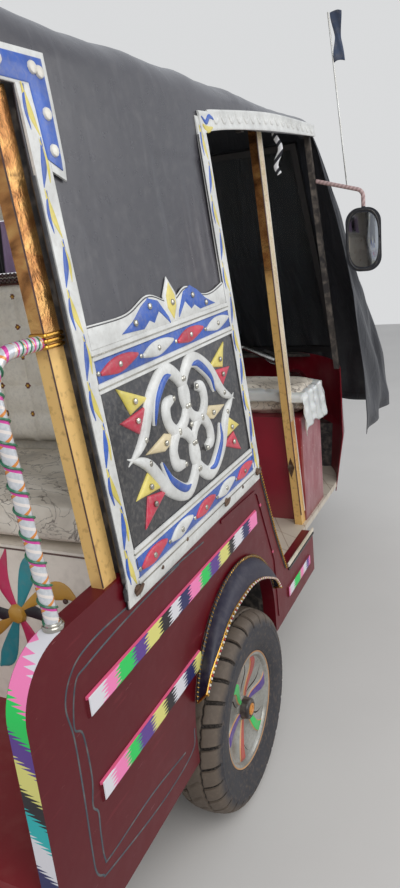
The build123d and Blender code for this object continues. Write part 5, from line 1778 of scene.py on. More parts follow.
@dataclass
class GuardRails:
    """Steel tubes in clear film with spiral bands and a raised green cord."""

    out: float = 0.619
    foot: float = 0.9855
    top: float = 1.460
    station: float = -0.715
    end: float = -0.574
    radius: float = 0.0135
    pitch: float = 0.042

    def build(self) -> None:
        """Make the rail of each side."""
        for side, hand in SIDES:
            high = side * (self.out - (self.top - self.foot) * math.tan(LEAN))
            corners = [(side * self.out, ahead(self.station), self.foot),
                       (high, ahead(self.station), self.top), (high, ahead(self.end), self.top)]
            path = even(rounded(corners, 0.070, 14), 0.004)
            batch = Batch()
            batch.tube(path, self.radius, 20)
            upright = path[along(path) < 0.47]
            batch.tube(coil(upright, self.radius + 0.0012, self.pitch, 18), 0.0024, 6, 1)
            for reach, low, high in ((0.0200, 0.0, 0.008), (0.0170, 0.008, 0.013)):
                profile = [(low, 0.002), (low, reach), (high - 0.002, reach),
                           (high, reach - 0.002), (high, 0.002)]
                self.flange(batch, path[0], profile)
            batch.place("wrapped_rail_" + hand, "wrapped_tube",
                        [self.film(), GREEN_CORD, SILVER],
                        *(("guard_rails",) if side < 0 else ()))

    def flange(self, batch: Batch, foot: Array, profile: list[Flat]) -> None:
        """Add a turned foot: height and radius, round an upright axis."""
        lift, radius = np.array(profile).T[..., None]
        angle = turns(32)
        batch.solid(joined(foot[0] + radius * np.cos(angle), foot[1] + radius * np.sin(angle),
                           foot[2] + lift), 2)

    def film(self) -> Paint:
        """Silver-white film with magenta and orange bands that wind along the tube."""
        graph = Graph("rail_film")
        run, turn, _ = graph.axes(graph.uv)
        level = graph.math("GREATER_THAN", run, 0.515)
        pitch = graph.slope(level, -0.020, self.pitch)
        phase = graph.math("FRACT", graph.math("SUBTRACT", graph.math("DIVIDE", run, pitch),
                                               turn))
        back = graph.math("FRACT", graph.math("ADD", graph.math("DIVIDE", run, pitch), turn))
        glitter = graph.noise(160.0, 3.0)
        colour = graph.mix(glitter, tone(226, 224, 226), tone(168, 176, 182))
        pale = graph.between(phase, 0.10, 0.24)
        colour = graph.mix(graph.times(pale, 0.7), colour, tone(246, 232, 220))
        colour = graph.mix(graph.between(back, 0.40, 0.54), colour, tone(216, 136, 62))
        colour = graph.mix(graph.between(phase, 0.52, 0.72), colour, tone(214, 66, 158))
        green = graph.times(level, graph.between(phase, 0.0, 0.22))
        colour = graph.mix(green, colour, tone(30, 120, 84))
        normal = graph.bump(graph.noise(210.0, 4.0), 0.0006, 0.7)
        return graph.finish(Base_Color=colour, Roughness=0.24, Metallic=0.25, Coat_Weight=0.6,
                            Coat_Roughness=0.08, Normal=normal)


GREEN_CORD = Finish("green_cord", (24, 110, 74), (16, 84, 58), 0.35, coat=0.4, dust=0.15)


@dataclass(frozen=True)
class Board:
    """An upright plane across the vehicle for flat artwork: X, height and lift towards +Y."""

    y: float

    def lay(self, flat: Array) -> Array:
        """Place points given as X, height and lift."""
        return joined(flat[..., 0], self.y + flat[..., 2], flat[..., 1])

    def frame(self, count: int) -> Array:
        """Directions of the plane's axes for copies: across, up and out."""
        return np.broadcast_to(np.array([(-1.0, 0, 0), (0, 0, 1.0), (0, 1.0, 0)]), (count, 3, 3))


@dataclass(frozen=True)
class Padding:
    """A stuffed cushion: a rounded box that swells under pressure in a cloth simulation."""

    node: str
    slot: str = "marble_vinyl"
    inset: Point = (0.010, 0.012, 0.016)
    voxel: float = 0.013
    frames: int = 20

    def build(self) -> None:
        """Make the cushion in the place of its node."""
        low, high = (np.array(corner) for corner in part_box(self.node))
        half = (high - low) / 2 - self.inset
        soft = self.shell((low + high) / 2, half)
        soft = self.swell(soft)
        soft.name = self.node + "_stuffed"
        soft.data.polygons.foreach_set("use_smooth", np.ones(len(soft.data.polygons), bool))
        soft.data.materials.clear()
        soft.data.materials.append(marble_print())
        place_piece(soft, "body", self.slot, self.node)

    def shell(self, middle: Array, half: Array) -> Piece:
        """Rounded box: a ball's points spread to the corners, with a crown on its top."""
        turn = np.linspace(-math.pi / 2, math.pi / 2, 49)[:, None]
        angle = turns(96)

        def spread(value: Array) -> Array:
            """Sign of a value times a low power of its size."""
            return np.sign(value) * np.abs(value) ** 0.22

        x = half[0] * spread(np.cos(turn)) * spread(np.cos(angle))
        y = half[1] * spread(np.cos(turn)) * spread(np.sin(angle))
        z = half[2] * spread(np.sin(turn))
        crown = 0.008 * np.cos(x / half[0] * 1.5) * np.cos(y / half[1] * 1.5) * (z > 0)
        batch = Batch()
        batch.solid(joined(x, y, z + crown) + middle)
        return batch.mesh("cushion_form", [], 180.0, 0.0005)

    def swell(self, form: Piece) -> Piece:
        """Remesh the form, blow it up as cloth, hold it to 16 mm and smooth it once."""
        scene = bpy.context.scene
        remesh = form.modifiers.new("even", "REMESH")
        remesh.mode, remesh.voxel_size = "VOXEL", self.voxel
        mesh = bpy.data.meshes.new_from_object(
            form.evaluated_get(bpy.context.evaluated_depsgraph_get()))
        bpy.data.objects.remove(form)
        soft = bpy.data.objects.new(self.node + "_soft", mesh)
        scene.collection.objects.link(soft)
        start = np.empty(len(mesh.vertices) * 3)
        mesh.vertices.foreach_get("co", start)
        cloth = soft.modifiers.new("cloth", "CLOTH")
        cloth.settings.use_pressure = True
        cloth.settings.uniform_pressure_force = 4.0
        cloth.settings.effector_weights.gravity = 0.0
        cloth.settings.quality = 4
        cloth.point_cache.frame_start, cloth.point_cache.frame_end = 1, self.frames
        for number in range(1, self.frames + 1):
            scene.frame_set(number)
        done = bpy.data.meshes.new_from_object(
            soft.evaluated_get(bpy.context.evaluated_depsgraph_get()))
        end = np.empty(len(done.vertices) * 3)
        done.vertices.foreach_get("co", end)
        scene.frame_set(1)
        move = (end - start).reshape(-1, 3)
        size = np.linalg.norm(move, axis=1, keepdims=True)
        move *= np.minimum(1.0, 0.016 / np.maximum(size, 1e-9))
        mesh.vertices.foreach_set("co", (start.reshape(-1, 3) + move).ravel())
        soft.modifiers.clear()
        bpy.data.meshes.remove(done)
        work = bmesh.new()
        work.from_mesh(mesh)
        bmesh.ops.subdivide_edges(work, edges=work.edges, cuts=1, use_grid_fill=True,
                                  smooth=0.5)
        work.to_mesh(mesh)
        work.free()
        return soft


@lru_cache(maxsize=None)
def marble_print() -> Paint:
    """Beige grey vinyl: its veins are the middle lines of two warped noises, its folds bump."""
    graph = Graph("marble_print")
    x, y, z = graph.axes(graph.place)
    stretched = graph.join(graph.times(x, 0.7), y, graph.times(z, 1.5))
    wide = graph.noise(5.0, 8.0, stretched, 1.1)
    colour = graph.ramp(wide, [(0.28, tone(160, 150, 138)), (0.46, tone(210, 200, 184)),
                               (0.64, tone(238, 230, 216))])
    for scale, width, shade in ((5.0, 0.010, 0.85), (11.0, 0.014, 0.65)):
        line = graph.noise(scale, 6.0, stretched, 1.6)
        near = graph.far(line, 0.5)
        vein = graph.times(graph.ramp(graph.math("DIVIDE", near, width), [(0.0, 1.0), (1.0, 0.0)]),
                           shade)
        colour = graph.mix(vein, colour, tone(78, 66, 60))
    crease = graph.noise(9.0, 4.0, graph.join(graph.times(x, 2.0), y, z), 0.8)
    normal = graph.bump(crease, 0.010, 0.35)
    return graph.finish(Base_Color=colour, Roughness=0.36, Coat_Weight=0.35, Coat_Roughness=0.2,
                        Normal=graph.bump(graph.noise(600.0), 0.0002, 0.6, normal))


PAD_CREAM = vinyl("cream_padding", (248, 240, 224), (232, 223, 206), 0.40)
FLOWER = Finish("flower_buttons", (104, 44, 34), (140, 70, 48), 0.35, coat=0.4)
DARK_BEADS = Finish("dark_beads", (84, 40, 30), (50, 26, 22), 0.3, coat=0.5)
PETAL_PINK = Finish("petal_pink", (206, 44, 96), (176, 30, 76), 0.4, coat=0.2)
PETAL_TEAL = Finish("petal_teal", (40, 150, 158), (26, 120, 130), 0.4, coat=0.2)
PETAL_OCHRE = Finish("petal_ochre", (206, 156, 62), (176, 126, 42), 0.4, coat=0.2)
PETAL_BLACK = Finish("petal_black", (34, 32, 40), (22, 20, 28), 0.4, coat=0.2)
BOARD_WHITE = Finish("board_white", (238, 228, 214), (218, 208, 194), 0.40, dust=0.2)


@dataclass
class Benches:
    """The two benches back to back: cushions, tufted pads, curtain and petal board."""

    pitch: tuple[float, float] = (0.092, 0.082)
    board: float = 1.1053
    wall: float = 0.594

    def build(self) -> None:
        """Make the soft pieces and the board's petals."""
        for node in ("rear_cushion", "middle_cushion"):
            Padding(node).build()
        self.pads("rear_backrest", 1, ((1.0965, 1.5440, 0.7056, 0.045),
                                       (1.7205, 1.8795, 0.7056, 0.014)))
        self.beads()
        self.pads("middle_backrest", -1, ((1.0965, 1.5440, 0.6849, 0.045),))
        self.curtain()
        self.petals()

    def half_width(self, height: float | Array, margin: float) -> float | Array:
        """Half the width between the leaning sides at a height, less a margin."""
        return self.wall - (height - BELT) * math.tan(LEAN) - margin

    def pads(self, node: str, side: int, blocks: tuple[tuple[float, ...], ...]) -> None:
        """Add tufted pads.

        The face is a grid of X and height: its thickness is a pad's, crowned inside each
        stitched square by the product of two sines to a low power, and pulled in at the rim.

        Args:
            node: The node that they replace.
            side: 1 where the face looks back, -1 where it looks ahead.
            blocks: Foot, top, back plane and thickness of each pad.
        """
        batch = Batch()
        spots, dx, dz = [], *self.pitch
        for foot, top, plane, thick in blocks:
            z = np.linspace(foot, top, max(2, round((top - foot) / 0.0085)))
            half = self.half_width(z, 0.0202)
            x = np.linspace(-1.0, 1.0, 144)[:, None] * half
            square = np.abs(np.sin(math.pi * (x - 0.004) / dx) * np.sin(math.pi * (z - foot) / dz))
            rim = step_up(np.minimum(half - np.abs(x), np.minimum(z - foot, top - z)), 0.0, 0.02)
            puff = 0.35 + 0.65 * square ** 0.40
            depth = thick * (0.55 + 0.45 * puff * (0.35 + 0.65 * rim)) - 0.0005
            batch.slab(joined(x, plane + side * depth, z), joined(x, plane + side * 0.0003, z))
            for row in range(int((top - foot - 0.01) / dz) + 1):
                height = foot + row * dz
                if foot + 0.015 < height < top - 0.010:
                    count = int(self.half_width(height, 0.045) / dx)
                    spots += [(0.004 + dx * k, plane + side * thick * 0.71, height)
                              for k in range(-count, count + 1)]
        button = Batch()
        button.copies(stud(0.0050, 0.0042), np.array([(0.0, 0.0, 0.0012)]), None, 2)
        turn = np.arange(6) * math.pi / 3
        ring = 0.0064 * joined(np.cos(turn), np.sin(turn), 0.0)
        button.copies(stud(0.0040, 0.0030), ring, None, 1)
        frames = np.array([(-side * 1.0, 0, 0), (0, 0, 1.0), (0, side * 1.0, 0)])
        batch.copies(button, np.array(spots), np.broadcast_to(frames, (len(spots), 3, 3)))
        piece = batch.place(node + "_tufted", "cream_vinyl", [PAD_CREAM, FLOWER, GOLD], node,
                            crease=60.0)

    def beads(self) -> None:
        """Add two rows of dark beads and a rod along the ledge."""
        beads = Batch()
        x, y, z = np.arange(-0.515, 0.516, 0.0135), 0.7525, 1.5500
        for lift in (0.0, 0.013):
            beads.copies(ball(0.0062), joined(x + lift / 2, y - lift * 0.1, z + lift))
        beads.tube(np.array([(-0.52, y - 0.0005, z - 0.010), (0.52, y - 0.0005, z - 0.010)]),
                   0.004, 8)
        beads.place("ledge_beads", "cream_vinyl", [DARK_BEADS])

    def curtain(self) -> None:
        """Add the curtain: a sheet whose depth is a sine of X, drawn in at mid height."""
        foot, tall = 1.568, 0.134
        x = np.linspace(-0.426, 0.426, 460)[:, None]
        z = np.linspace(foot, foot + tall, 24)
        gather = 1.0 - 0.25 * np.sin(math.pi * (z - foot) / tall)
        wave = np.sin(2 * math.pi * x / 0.0225 + 0.7 * np.sin(23.0 * x)) * gather
        points = joined(x, 0.6952 + 0.0032 * wave, z)
        batch = Batch()
        batch.grid(points)
        piece = batch.place("pleated_curtain", "curtain_cloth", [self.lavender()], "curtain",
                            crease=180.0)

    def lavender(self) -> Paint:
        """Lavender cloth with near black strips between its lengths, as painted shade of the gaps.
        """
        graph = Graph("lavender_cloth")
        x, _, z = graph.axes(graph.place)
        wide = graph.noise(18.0, 4.0)
        colour = graph.mix(wide, tone(206, 178, 212), tone(166, 138, 176))
        # Painted shade: near black strips stand for the dark gaps between the curtain's lengths
        strip = graph.math("PINGPONG", graph.slope(z, 0.06, x), 0.082)
        gap = graph.ramp(graph.math("DIVIDE", strip, 0.082), [(0.62, 0.0), (0.66, 1.0)])
        colour = graph.mix(gap, colour, tone(34, 30, 34))
        return graph.finish(Base_Color=colour, Roughness=0.75, Sheen_Weight=0.3,
                            Normal=graph.bump(graph.noise(900.0), 0.0002, 0.5))

    def petals(self) -> None:
        """Add the painted petals of the board below the rear bench, a flower on each half."""
        art = Applique(Board(self.board + 0.0001), Batch())
        pink, teal, ochre, black, dark = range(5)
        arms = (
            (pink, [(0.0, 0.0), (0.030, 0.085), (0.002, 0.172)], [0.004, 0.020, 0.002]),
            (teal, [(0.0, 0.0), (-0.057, 0.126), (-0.094, 0.168)], [0.004, 0.024, 0.003]),
            (ochre, [(0.0, 0.0), (-0.080, 0.058), (-0.143, 0.081), (-0.188, 0.059)],
             [0.004, 0.016, 0.024, 0.002]),
            (black, [(0.0, 0.0), (-0.055, 0.010), (-0.110, -0.018)], [0.004, 0.018, 0.002]))
        x, height = 0.247, 0.776
        for side in (-1, 1):
            for turn in (1, -1):
                for finish, line, widths in arms:
                    spine = [(side * (x - turn * dx), height + turn * dz) for dx, dz in line]
                    art.stroke(spine, widths, finish, 0.0006, 0.0022)
            for radius, finish, lift in ((0.026, ochre, 0.0015), (0.011, dark, 0.00225)):
                art.studs([(side * x, height)], radius, finish, lift)
            art.studs([(side * 0.399, 0.832), (side * 0.095, 0.720)], 0.007, dark, 0.002)
        # Painted shade: a thin dark band along the board's top stands for the shadow line under
        # the cushion's lower edge
        art.band([(-0.596, 0.949), (0.596, 0.949), (0.596, 0.953), (-0.596, 0.953)], dark,
                 0.0004, 0.0012)
        art.batch.place("petal_board", "board_print",
                        [PETAL_PINK, PETAL_TEAL, PETAL_OCHRE, PETAL_BLACK, DARK_BEADS])


@dataclass
class FrontBench:
    """The driver's bench: scratched box, cushion and a crumpled clear cover."""

    rear: float = -0.1590
    front: float = -0.4360

    def build(self) -> None:
        """Make the cushion and its cover, and dress the box."""
        dress(["front_bench_box"], self.paint())
        Padding("front_cushion", inset=(0.010, 0.012, 0.012)).build()
        self.cover()

    def paint(self) -> Paint:
        """Deep red paint, worn pink and scratched on the bench's right face."""
        graph = Graph("bench_paint")
        x, y, z = graph.axes(graph.place)
        wide = graph.noise(7.0, 6.0)
        colour = graph.mix(wide, tone(146, 16, 44), tone(110, 12, 34))
        face = graph.math("LESS_THAN", x, -0.585)
        worn = graph.ramp(graph.noise(9.0, 9.0, graph.join(graph.times(y, 3.0), z,
                                                           x)), [(0.36, 0.0), (0.60, 0.75)])
        colour = graph.mix(graph.times(face, worn), colour, tone(158, 98, 104))
        scratch = graph.ramp(graph.noise(60.0, 4.0, graph.join(
            graph.times(y, 3.0), z, x)), [(0.66, 0.0), (0.70, 1.0)])
        colour = graph.mix(graph.times(graph.times(face, scratch), 0.5),
                           colour, tone(214, 196, 190))
        low = graph.times(graph.stretch(z, 0.62, 0.50), 0.35)
        colour = graph.mix(low, colour, tone(110, 84, 74))
        return graph.finish(Base_Color=colour, Roughness=0.34, Coat_Weight=0.35,
                            Normal=graph.bump(graph.noise(160.0, 4.0), 0.0004, 0.5))

    def cover(self) -> None:
        """Add the cover: a line across the seat and down its right side, run from rear to front.

        Its crumple is a warped sine of both ways, growing towards the right corner.
        """
        path = rounded([(0.588, 0.0, 1.0375), (-0.6265, 0.0, 1.0375), (-0.6265, 0.0, 0.884)],
                       0.034, 14)
        path = even(path, 0.0065)
        run = along(path)[:, None]
        normal = unit(np.gradient(path, axis=0))
        normal = np.stack([-normal[:, 2], normal[:, 1], normal[:, 0]], -1)
        down = rounded([(self.rear, -0.040, 0), (self.rear, 0, 0), (self.front, 0, 0)], 0.024)
        down = even(down, 0.0062)
        y, drop = down[None, :, 0], down[None, :, 1]
        grow = 0.35 + 0.65 * step_up(run, 0.85, 1.25)
        fold = np.sin(70 * run + 40 * y + 2.2 * np.sin(33 * run - 50 * y))
        fine = np.sin(160 * run - 130 * y + 2.0 * np.sin(90 * y + 60 * run))
        gather = np.sin(95 * (y + drop) + 1.5 * np.sin(14 * run)) * step_up(run, 1.14, 1.26)
        lift = (0.0022 * fold + 0.0005 * fine) * grow + 0.0040 * gather
        bulge = 0.018 * np.exp(-((run - 1.20) / 0.11) ** 2)
        crown = 0.010 * np.sin(math.pi * np.clip(run / 1.2, 0, 1)) ** 0.5
        lift = lift + bulge + crown * (drop > -0.002) + 0.0040
        hem = 0.010 * np.sin(24 * y + 1.0) + 0.004 * np.sin(67 * y)
        tail = step_up(run, run.max() - 0.10, run.max())
        points = path[:, None] + normal[:, None] * lift[..., None]
        points[..., 1] += y + 0.0025 * (drop < -0.004)
        points[..., 2] += tail * hem + drop * (1.0 + 0.25 * np.sin(9 * run) - 0.2 * tail)
        points[..., 1] += 0.006 * np.sin(30 * run) * (y - y.mean()) / 0.12
        batch = Batch()
        batch.grid(points, u=run[:, 0], v=y[0])
        piece = batch.place("crumpled_cover", "clear_cover", [self.film()], "seat_cover",
                            crease=180.0)
        thicken(piece, 0.0012)

    def film(self) -> Paint:
        """Cloudy soft plastic with a fine crumple."""
        graph = Graph("cloudy_film")
        wide = graph.noise(12.0, 6.0, None, 0.8)
        colour = graph.mix(wide, tone(222, 220, 216), tone(184, 182, 178))
        crumple = graph.node("TexVoronoi", {"Vector": graph.place, "Scale": 46.0},
                             feature="SMOOTH_F1")
        normal = graph.bump(crumple, 0.0016, 0.5)
        normal = graph.bump(graph.noise(60.0, 6.0, None, 1.0), 0.0012, 0.5, normal)
        return graph.finish(Base_Color=colour, Roughness=0.30, Coat_Weight=0.4,
                            Coat_Roughness=0.15, Subsurface_Weight=0.1, Normal=normal)


@dataclass
class RainSheet:
    """Dark cloth hung from the roof's front edge, round the screen and the nose."""

    levels: tuple[tuple[float, ...], ...] = (
        (1.988, 0.5395, 1.3272, 1.3400), (1.900, 0.572, 1.3276, 1.376),
        (1.640, 0.640, 1.329, 1.490), (1.330, 0.700, 1.332, 1.668),
        (1.000, 0.734, 1.332, 1.856), (0.800, 0.746, 1.332, 1.945), (0.728, 0.742, 1.332, 1.958))
    columns: int = 301
    rows: int = 76
    limit: float = 0.776

    def build(self) -> None:
        """Make the sheet.

        At each height the line is a U with rounded corners; folds are sines of the way round
        whose depth grows downwards, and a second set fans out from the upper corners. The bend
        of each corner lies between two shares of the way round. The sheet's upper edge follows
        the roof's arc.
        """
        table = np.array(self.levels)
        top, foot = table[0, 0], table[-1, 0]
        z = np.linspace(top, foot, self.rows)
        half, rear, front = sampled(table[::-1, 1:], table[::-1, 0], z).T
        depth = front - rear
        t = np.linspace(-1.0, 1.0, self.columns)[:, None]
        away = np.abs(t)
        bend, back = 0.60, 0.80
        turn = np.clip((away - bend) / (back - bend), 0.0, 1.0) * math.pi / 2
        across = np.clip(away / bend, 0.0, 1.0)
        down = np.clip((away - back) / (1.0 - back), 0.0, 1.0)
        radius = np.minimum(0.16, depth * 0.62)
        x = np.sign(t) * (across * (half - radius) + np.sin(turn) * radius)
        s = front - radius * (1 - np.cos(turn)) - down * (depth - radius)
        v = (top - z) / (top - foot)
        fan = np.sin((away * 15.0 + 5.0 * v) * 3.1 + 1.3 * np.sin(9.0 * t))
        hang = np.sin(t * 34.0 + 1.6 * np.sin(t * 11.0 + 3.0 * v) + 2.0 * v)
        fine = np.sin(t * 90.0 + 14.0 * v + 2.0 * np.sin(17.0 * t))
        edge = step_up(1 - away, 0.0, 0.05)
        corner = np.exp(-((away - 0.62) / 0.13) ** 2)
        lift = 0.012 * hang * v ** 1.1 + 0.008 * fan * np.sqrt(v) + 0.003 * fine * v ** 0.5
        lift = (lift - 0.008 * v + 0.020 * corner * step_up(v, 0.55, 0.92)
                * (1 - 0.8 * step_up(v, 0.94, 1.0))) * (0.30 + 0.70 * edge)
        crown = 0.088 * np.clip(1 - (x / 0.557) ** 2, 0.0, 1.0)
        rise = 0.012 * np.sin(t * 13.0) * step_up(v, 0.90, 1.0) \
            + crown * np.clip(1 - v / 0.40, 0.0, 1.0) ** 1.5 * (down < 0.01)
        points = joined(np.clip(x + np.sign(t) * np.sin(turn) * lift, -self.limit, self.limit),
                        ahead(s + np.cos(turn) * lift), z + rise)
        batch = Batch()
        batch.grid(points, u=np.linspace(0, 3.0, self.columns), v=top - z)
        piece = batch.place("draped_rain_sheet", "sheet_cloth", [self.cloth()], "rain_sheet",
                            crease=180.0)
        thicken(piece, 0.0016)

    def cloth(self) -> Paint:
        """Black navy waterproof cloth with a fine weave, creases and dust near the hem."""
        graph = Graph("rain_cloth")
        _, _, z = graph.axes(graph.place)
        u, v, _ = graph.axes(graph.uv)
        wide = graph.noise(6.0, 6.0, None, 0.5)
        colour = graph.mix(wide, tone(22, 24, 31), tone(33, 36, 45))
        dust = graph.times(graph.stretch(z, 1.15, 0.74), graph.ramp(graph.noise(24.0, 7.0),
                                                                    [(0.45, 0.0), (0.80, 0.22)]))
        colour = graph.mix(dust, colour, tone(84, 80, 80))
        seam = graph.between(v, 1.222, 1.228)
        colour = graph.mix(seam, colour, tone(18, 18, 24))
        weave = graph.times(graph.math("SINE", graph.times(u, 4000.0)),
                            graph.math("SINE", graph.times(v, 4000.0)))
        crease = graph.noise(11.0, 5.0, graph.join(graph.times(u, 2.2), v, 0.0), 1.0)
        normal = graph.bump(crease, 0.012, 0.5)
        return graph.finish(Base_Color=colour, Roughness=0.60, Sheen_Weight=0.12,
                            Normal=graph.bump(weave, 0.0001, 0.4, normal))


@dataclass
class Nose:
    """Cowl, lamps, screen, mirrors and the aerial with its strip of cloth."""

    mirror: Point = (0.752, -0.5990, 1.540)
    lamp: Point = (0.300, -1.1199, 0.860)
    lens: float = 0.0585

    def build(self) -> None:
        """Dress the nose and make its mirror glass, lamp lenses and streamer."""
        dress(["front_cowl", "front_mudguard"], body_paint())
        dress(["windscreen_glass"], self.glass())
        dress(["mirrors"], self.housing())
        self.faces()
        self.lenses()
        self.strip()

    def glass(self) -> Paint:
        """Clear glass with a slight green tone."""
        graph = Graph("clear_glass")
        haze = graph.noise(8.0, 5.0)
        return graph.finish(Base_Color=tone(246, 250, 248),
                            Roughness=graph.slope(haze, 0.04, 0.0),
                            Transmission_Weight=1.0, IOR=1.12)

    def housing(self) -> Paint:
        """Black plastic housing on an arm wound with faded pink tape, by height."""
        graph = Graph("mirror_plastic")
        x, _, z = graph.axes(graph.place)
        fine = graph.noise(60.0, 6.0)
        colour = graph.mix(fine, tone(28, 30, 36), tone(52, 54, 60))
        wound = graph.math("PINGPONG", graph.slope(z, 0.8, x), 0.009)
        tape = graph.mix(graph.times(wound, 111.0), tone(196, 168, 164),
                         tone(150, 122, 120))
        colour = graph.mix(graph.math("GREATER_THAN", z, 1.666), colour, tape)
        return graph.finish(Base_Color=colour, Roughness=0.42,
                            Normal=graph.bump(graph.noise(400.0, 3.0), 0.0004, 0.6))

    def faces(self) -> None:
        """Add the mirrors' glass, slightly domed, and their bezels."""
        turn = turns(64)
        squash = (np.abs(np.cos(turn)) ** 3 + np.abs(np.sin(turn)) ** 3) ** (-1 / 3)
        flat = np.stack([np.cos(turn), np.sin(turn)]) * squash
        share = np.array([0.02, 0.35, 0.7, 0.93, 1.0])[:, None]
        batch = Batch()
        for side, _ in SIDES:
            x, y, z = side * self.mirror[0], self.mirror[1], self.mirror[2]
            reach = share * 0.878
            batch.solid(joined(x + 0.066 * reach * flat[0], y + 0.0004 + 0.0016 * (1 - share ** 2),
                               z + 0.118 * reach * flat[1]))
            ring = joined(x + 0.0625 * flat[0], y + 0.0005, z + 0.1135 * flat[1])
            batch.tube(np.vstack([ring, ring[:1]]), 0.0036, 8, 1)
        batch.place("mirror_faces", "mirror_black", [MIRROR_GLASS, PIPING], crease=60.0)

    def lenses(self) -> None:
        """Add ribbed lenses to the headlamps: a dome with upright flutes."""
        angle = turns(96)
        share = np.linspace(0.02, 1.0, 26)[:, None]
        batch = Batch()
        for side, _ in SIDES:
            x = side * self.lamp[0] + self.lens * share * np.cos(angle)
            flute = 0.0008 * np.abs(np.sin(x * 260.0)) * (share < 0.96)
            batch.solid(joined(x, self.lamp[1] - 0.010 * (1 - share ** 2) - flute,
                               self.lamp[2] + self.lens * share * np.sin(angle)))
        batch.place("lamp_lenses", "lamp_clear", [LENS], crease=60.0)

    def strip(self) -> None:
        """Add the cloth tied to the aerial.

        Its width follows a cosine that is slim at mid height, and its depth is two sines.
        """
        v = np.linspace(0.0, 1.0, 44)
        u = np.linspace(0.0, 1.0, 12)[:, None]
        low, high = (np.array(corner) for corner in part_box("streamer"))
        width = 0.044 * (0.52 + 0.48 * np.abs(np.cos(math.pi * v)) ** 1.5)
        x = low[0] + 0.026 + width * (u - 0.5) + (high[0] - low[0] - 0.052) * (1 - v)
        y = (low[1] + high[1]) / 2 + 0.0065 * np.sin(2.4 * math.pi * v + 2.2 * u) * v \
            + 0.003 * np.sin(7 * u + 9 * v)
        points = joined(x, y, high[2] - 0.004 - 0.168 * v + 0.006 * np.sin(3 * u))
        batch = Batch()
        batch.grid(points)
        piece = batch.place("aerial_strip", "streamer_cloth", [STRIP_CLOTH], "streamer",
                            crease=180.0)
        thicken(piece, 0.0008)


FRAME_BLACK = Finish("frame_black", (44, 42, 44), (62, 56, 52), 0.45, dust=0.5)
CHROME = Finish("worn_chrome", (206, 206, 202), (150, 148, 142), 0.2, metallic=1.0,
                dust=0.3)
SCREEN_FRAME = Finish("screen_frame", (20, 20, 22), (32, 31, 33), 0.5, dust=0.2,
                      dust_colour=(0.06, 0.055, 0.05))
MIRROR_GLASS = Finish("mirror_glass", (196, 200, 204), (180, 184, 190), 0.04,
                      metallic=1.0, dust=0.08, depth=0.0)
LENS = Finish("lamp_lens", (214, 218, 216), (190, 194, 192), 0.12, coat=0.6, dust=0.2)
STRIP_CLOTH = Finish("strip_cloth", (70, 84, 108), (44, 54, 76), 0.8, sheen=0.3,
                     grain=1200.0, depth=0.0002, dust=0.25)
OILY = Finish("oily_steel", (52, 48, 46), (92, 78, 66), 0.5, metallic=0.5, dust=0.6,
              ripple=0.0008, ripple_scale=60.0)
CAST = Finish("cast_metal", (128, 124, 118), (84, 78, 72), 0.5, metallic=0.7, dust=0.5,
              ripple=0.0010, ripple_scale=120.0)
PIPE_RUST = Finish("pipe_rust", (122, 78, 50), (74, 54, 44), 0.7, metallic=0.4, dust=0.4)
TAIL_RED = Finish("tail_red", (178, 20, 28), (120, 10, 18), 0.15, coat=0.6, dust=0.2)
GRIP = Finish("grip_rubber", (30, 30, 32), (50, 48, 46), 0.6, dust=0.3)


@lru_cache(maxsize=None)
def body_paint() -> Paint:
    """Maroon paint like the panels', with dust low down and no bands."""
    graph = Graph("maroon_paint")
    _, _, z = graph.axes(graph.place)
    colour = graph.mix(graph.noise(5.0, 6.0), tone(136, 14, 36), tone(108, 12, 28))
    dust = graph.ramp(graph.noise(22.0, 8.0), [(0.48, 0.0), (0.80, 0.25)])
    colour = graph.mix(dust, colour, tone(150, 90, 84))
    colour = graph.mix(graph.times(graph.stretch(z, 0.70, 0.44), 0.22), colour,
                       tone(120, 90, 80))
    return graph.finish(Base_Color=colour, Roughness=0.34, Specular_IOR_Level=0.25,
                        Coat_Weight=0.08, Coat_Roughness=0.2,
                        Normal=graph.bump(graph.noise(200.0, 3.0), 0.0003, 0.5))


def floor_tile() -> Paint:
    """Pale mat with thin brown crossing lines, grey with dust."""
    graph = Graph("floor_tile")
    x, y, _ = graph.axes(graph.place)
    base = graph.mix(graph.noise(6.0, 7.0), tone(206, 196, 180), tone(176, 164, 148))
    for first, second in ((x, y), (y, x)):
        bent = graph.slope(second, 0.55, first)
        cell = graph.math("PINGPONG", bent, 0.055)
        line = graph.ramp(graph.math("DIVIDE", cell, 0.055), [(0.0, 0.8), (0.05, 0.0)])
        base = graph.mix(line, base, tone(124, 96, 74))
    return graph.finish(Base_Color=base, Roughness=0.45,
                        Normal=graph.bump(graph.noise(300.0, 3.0), 0.0003, 0.6))


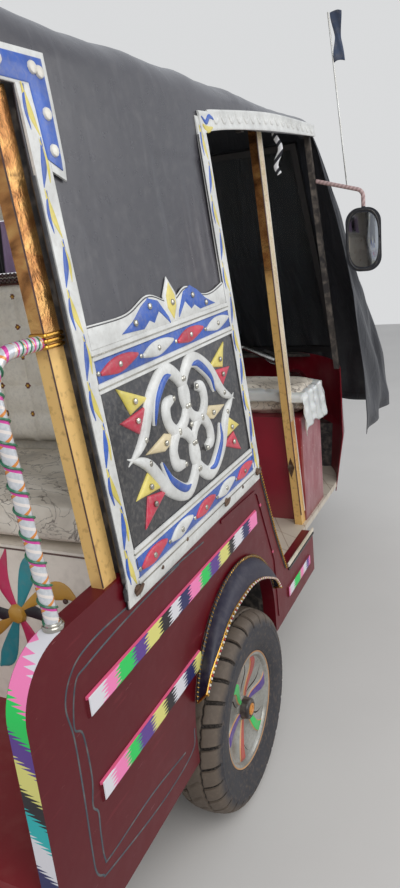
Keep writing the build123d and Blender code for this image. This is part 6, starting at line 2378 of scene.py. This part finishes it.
@dataclass
class Underneath:
    """Nodes in one plain finish, the floors, and the steering's grips."""

    plain: tuple[tuple[Finish, tuple[str, ...]], ...] = (
        (FRAME_BLACK, ("nose_shelf", "dashboard", "fork", "chassis_frame", "wheel_tubs")),
        (OILY, ("leaf_springs", "rear_axle", "propeller_shaft")),
        (CHROME, ("headlamps", "antenna", "handlebar")), (SCREEN_FRAME, ("windscreen_frame",)),
        (HOOP_PAINT, ("canopy_hoops",)), (PAD_CREAM, ("partition",)),
        (BOARD_WHITE, ("bench_base",)), (CAST, ("engine_block",)), (PIPE_RUST, ("exhaust",)),
        (TAIL_RED, ("tail_lamps",)))

    def build(self) -> None:
        """Dress the nodes and make the grips."""
        for finish, names in self.plain:
            dress(names, finish.make())
        dress(["rear_floor"], body_paint())
        dress(["cabin_floor"], floor_tile())
        self.grips()

    def grips(self) -> None:
        """Add ribbed rubber grips round the bar's ends, and a lever ahead of each."""
        bar = bpy.data.objects["handlebar"].data
        co = np.empty(len(bar.vertices) * 3)
        bar.vertices.foreach_get("co", co)
        co = co.reshape(-1, 3)
        reach = np.abs(co[:, 0]).max()
        drops = np.array([(0, 0.0, -0.021), (0, 0.010, -0.028), (0, 0.016, -0.031),
                          (0, 0.018, -0.029)])
        batch = Batch()
        for side, _ in SIDES:
            out = co[:, 0] * side
            tip = co[out > reach - 0.001].mean(0)
            inner = co[(out > reach - 0.10) & (out < reach - 0.02)]
            ahead_of = unit(tip - inner.mean(0)) if len(inner) else np.array([side, 0, 0.0])
            path = tip + ahead_of * np.linspace(-0.108, 0.0005, 60)[:, None]
            rib = 0.0172 + 0.0007 * np.abs(np.sin(np.linspace(0, 60.0, 60)))
            rib[[0, -1]] = 0.0150
            batch.tube(path, rib, 20)
            batch.tube(smooth_line(path[[2, 12, 30, 46]] + drops, 8), 0.0042, 8, 1)
        batch.place("bar_grips", "bar_chrome", [GRIP, CHROME], body="steering")


def dress(names: Sequence[str], finish: Paint) -> None:
    """Give a material to nodes of the frame."""
    for name in names:
        data = bpy.data.objects[name].data
        data.materials.clear()
        data.materials.append(finish)


def main() -> None:
    """Build every piece in order."""
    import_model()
    Camera().build()
    Stage().build()
    SideArt().build()
    LowerBody().build()
    Canopy().build()
    Posts().build()
    GuardRails().build()
    Benches().build()
    FrontBench().build()
    RainSheet().build()
    Nose().build()
    Underneath().build()
    for name, x, y, out in (("rear_right", -0.603, REAR_AXLE_Y, -1),
                            ("rear_left", 0.603, REAR_AXLE_Y, 1),
                            ("front", 0.0, FRONT_AXLE_Y, 1)):
        Wheel(name, (x, y, AXLE_HEIGHT), out).build()


if __name__ == "__main__":
    logging.basicConfig(level=logging.INFO, format="%(message)s")
    main()
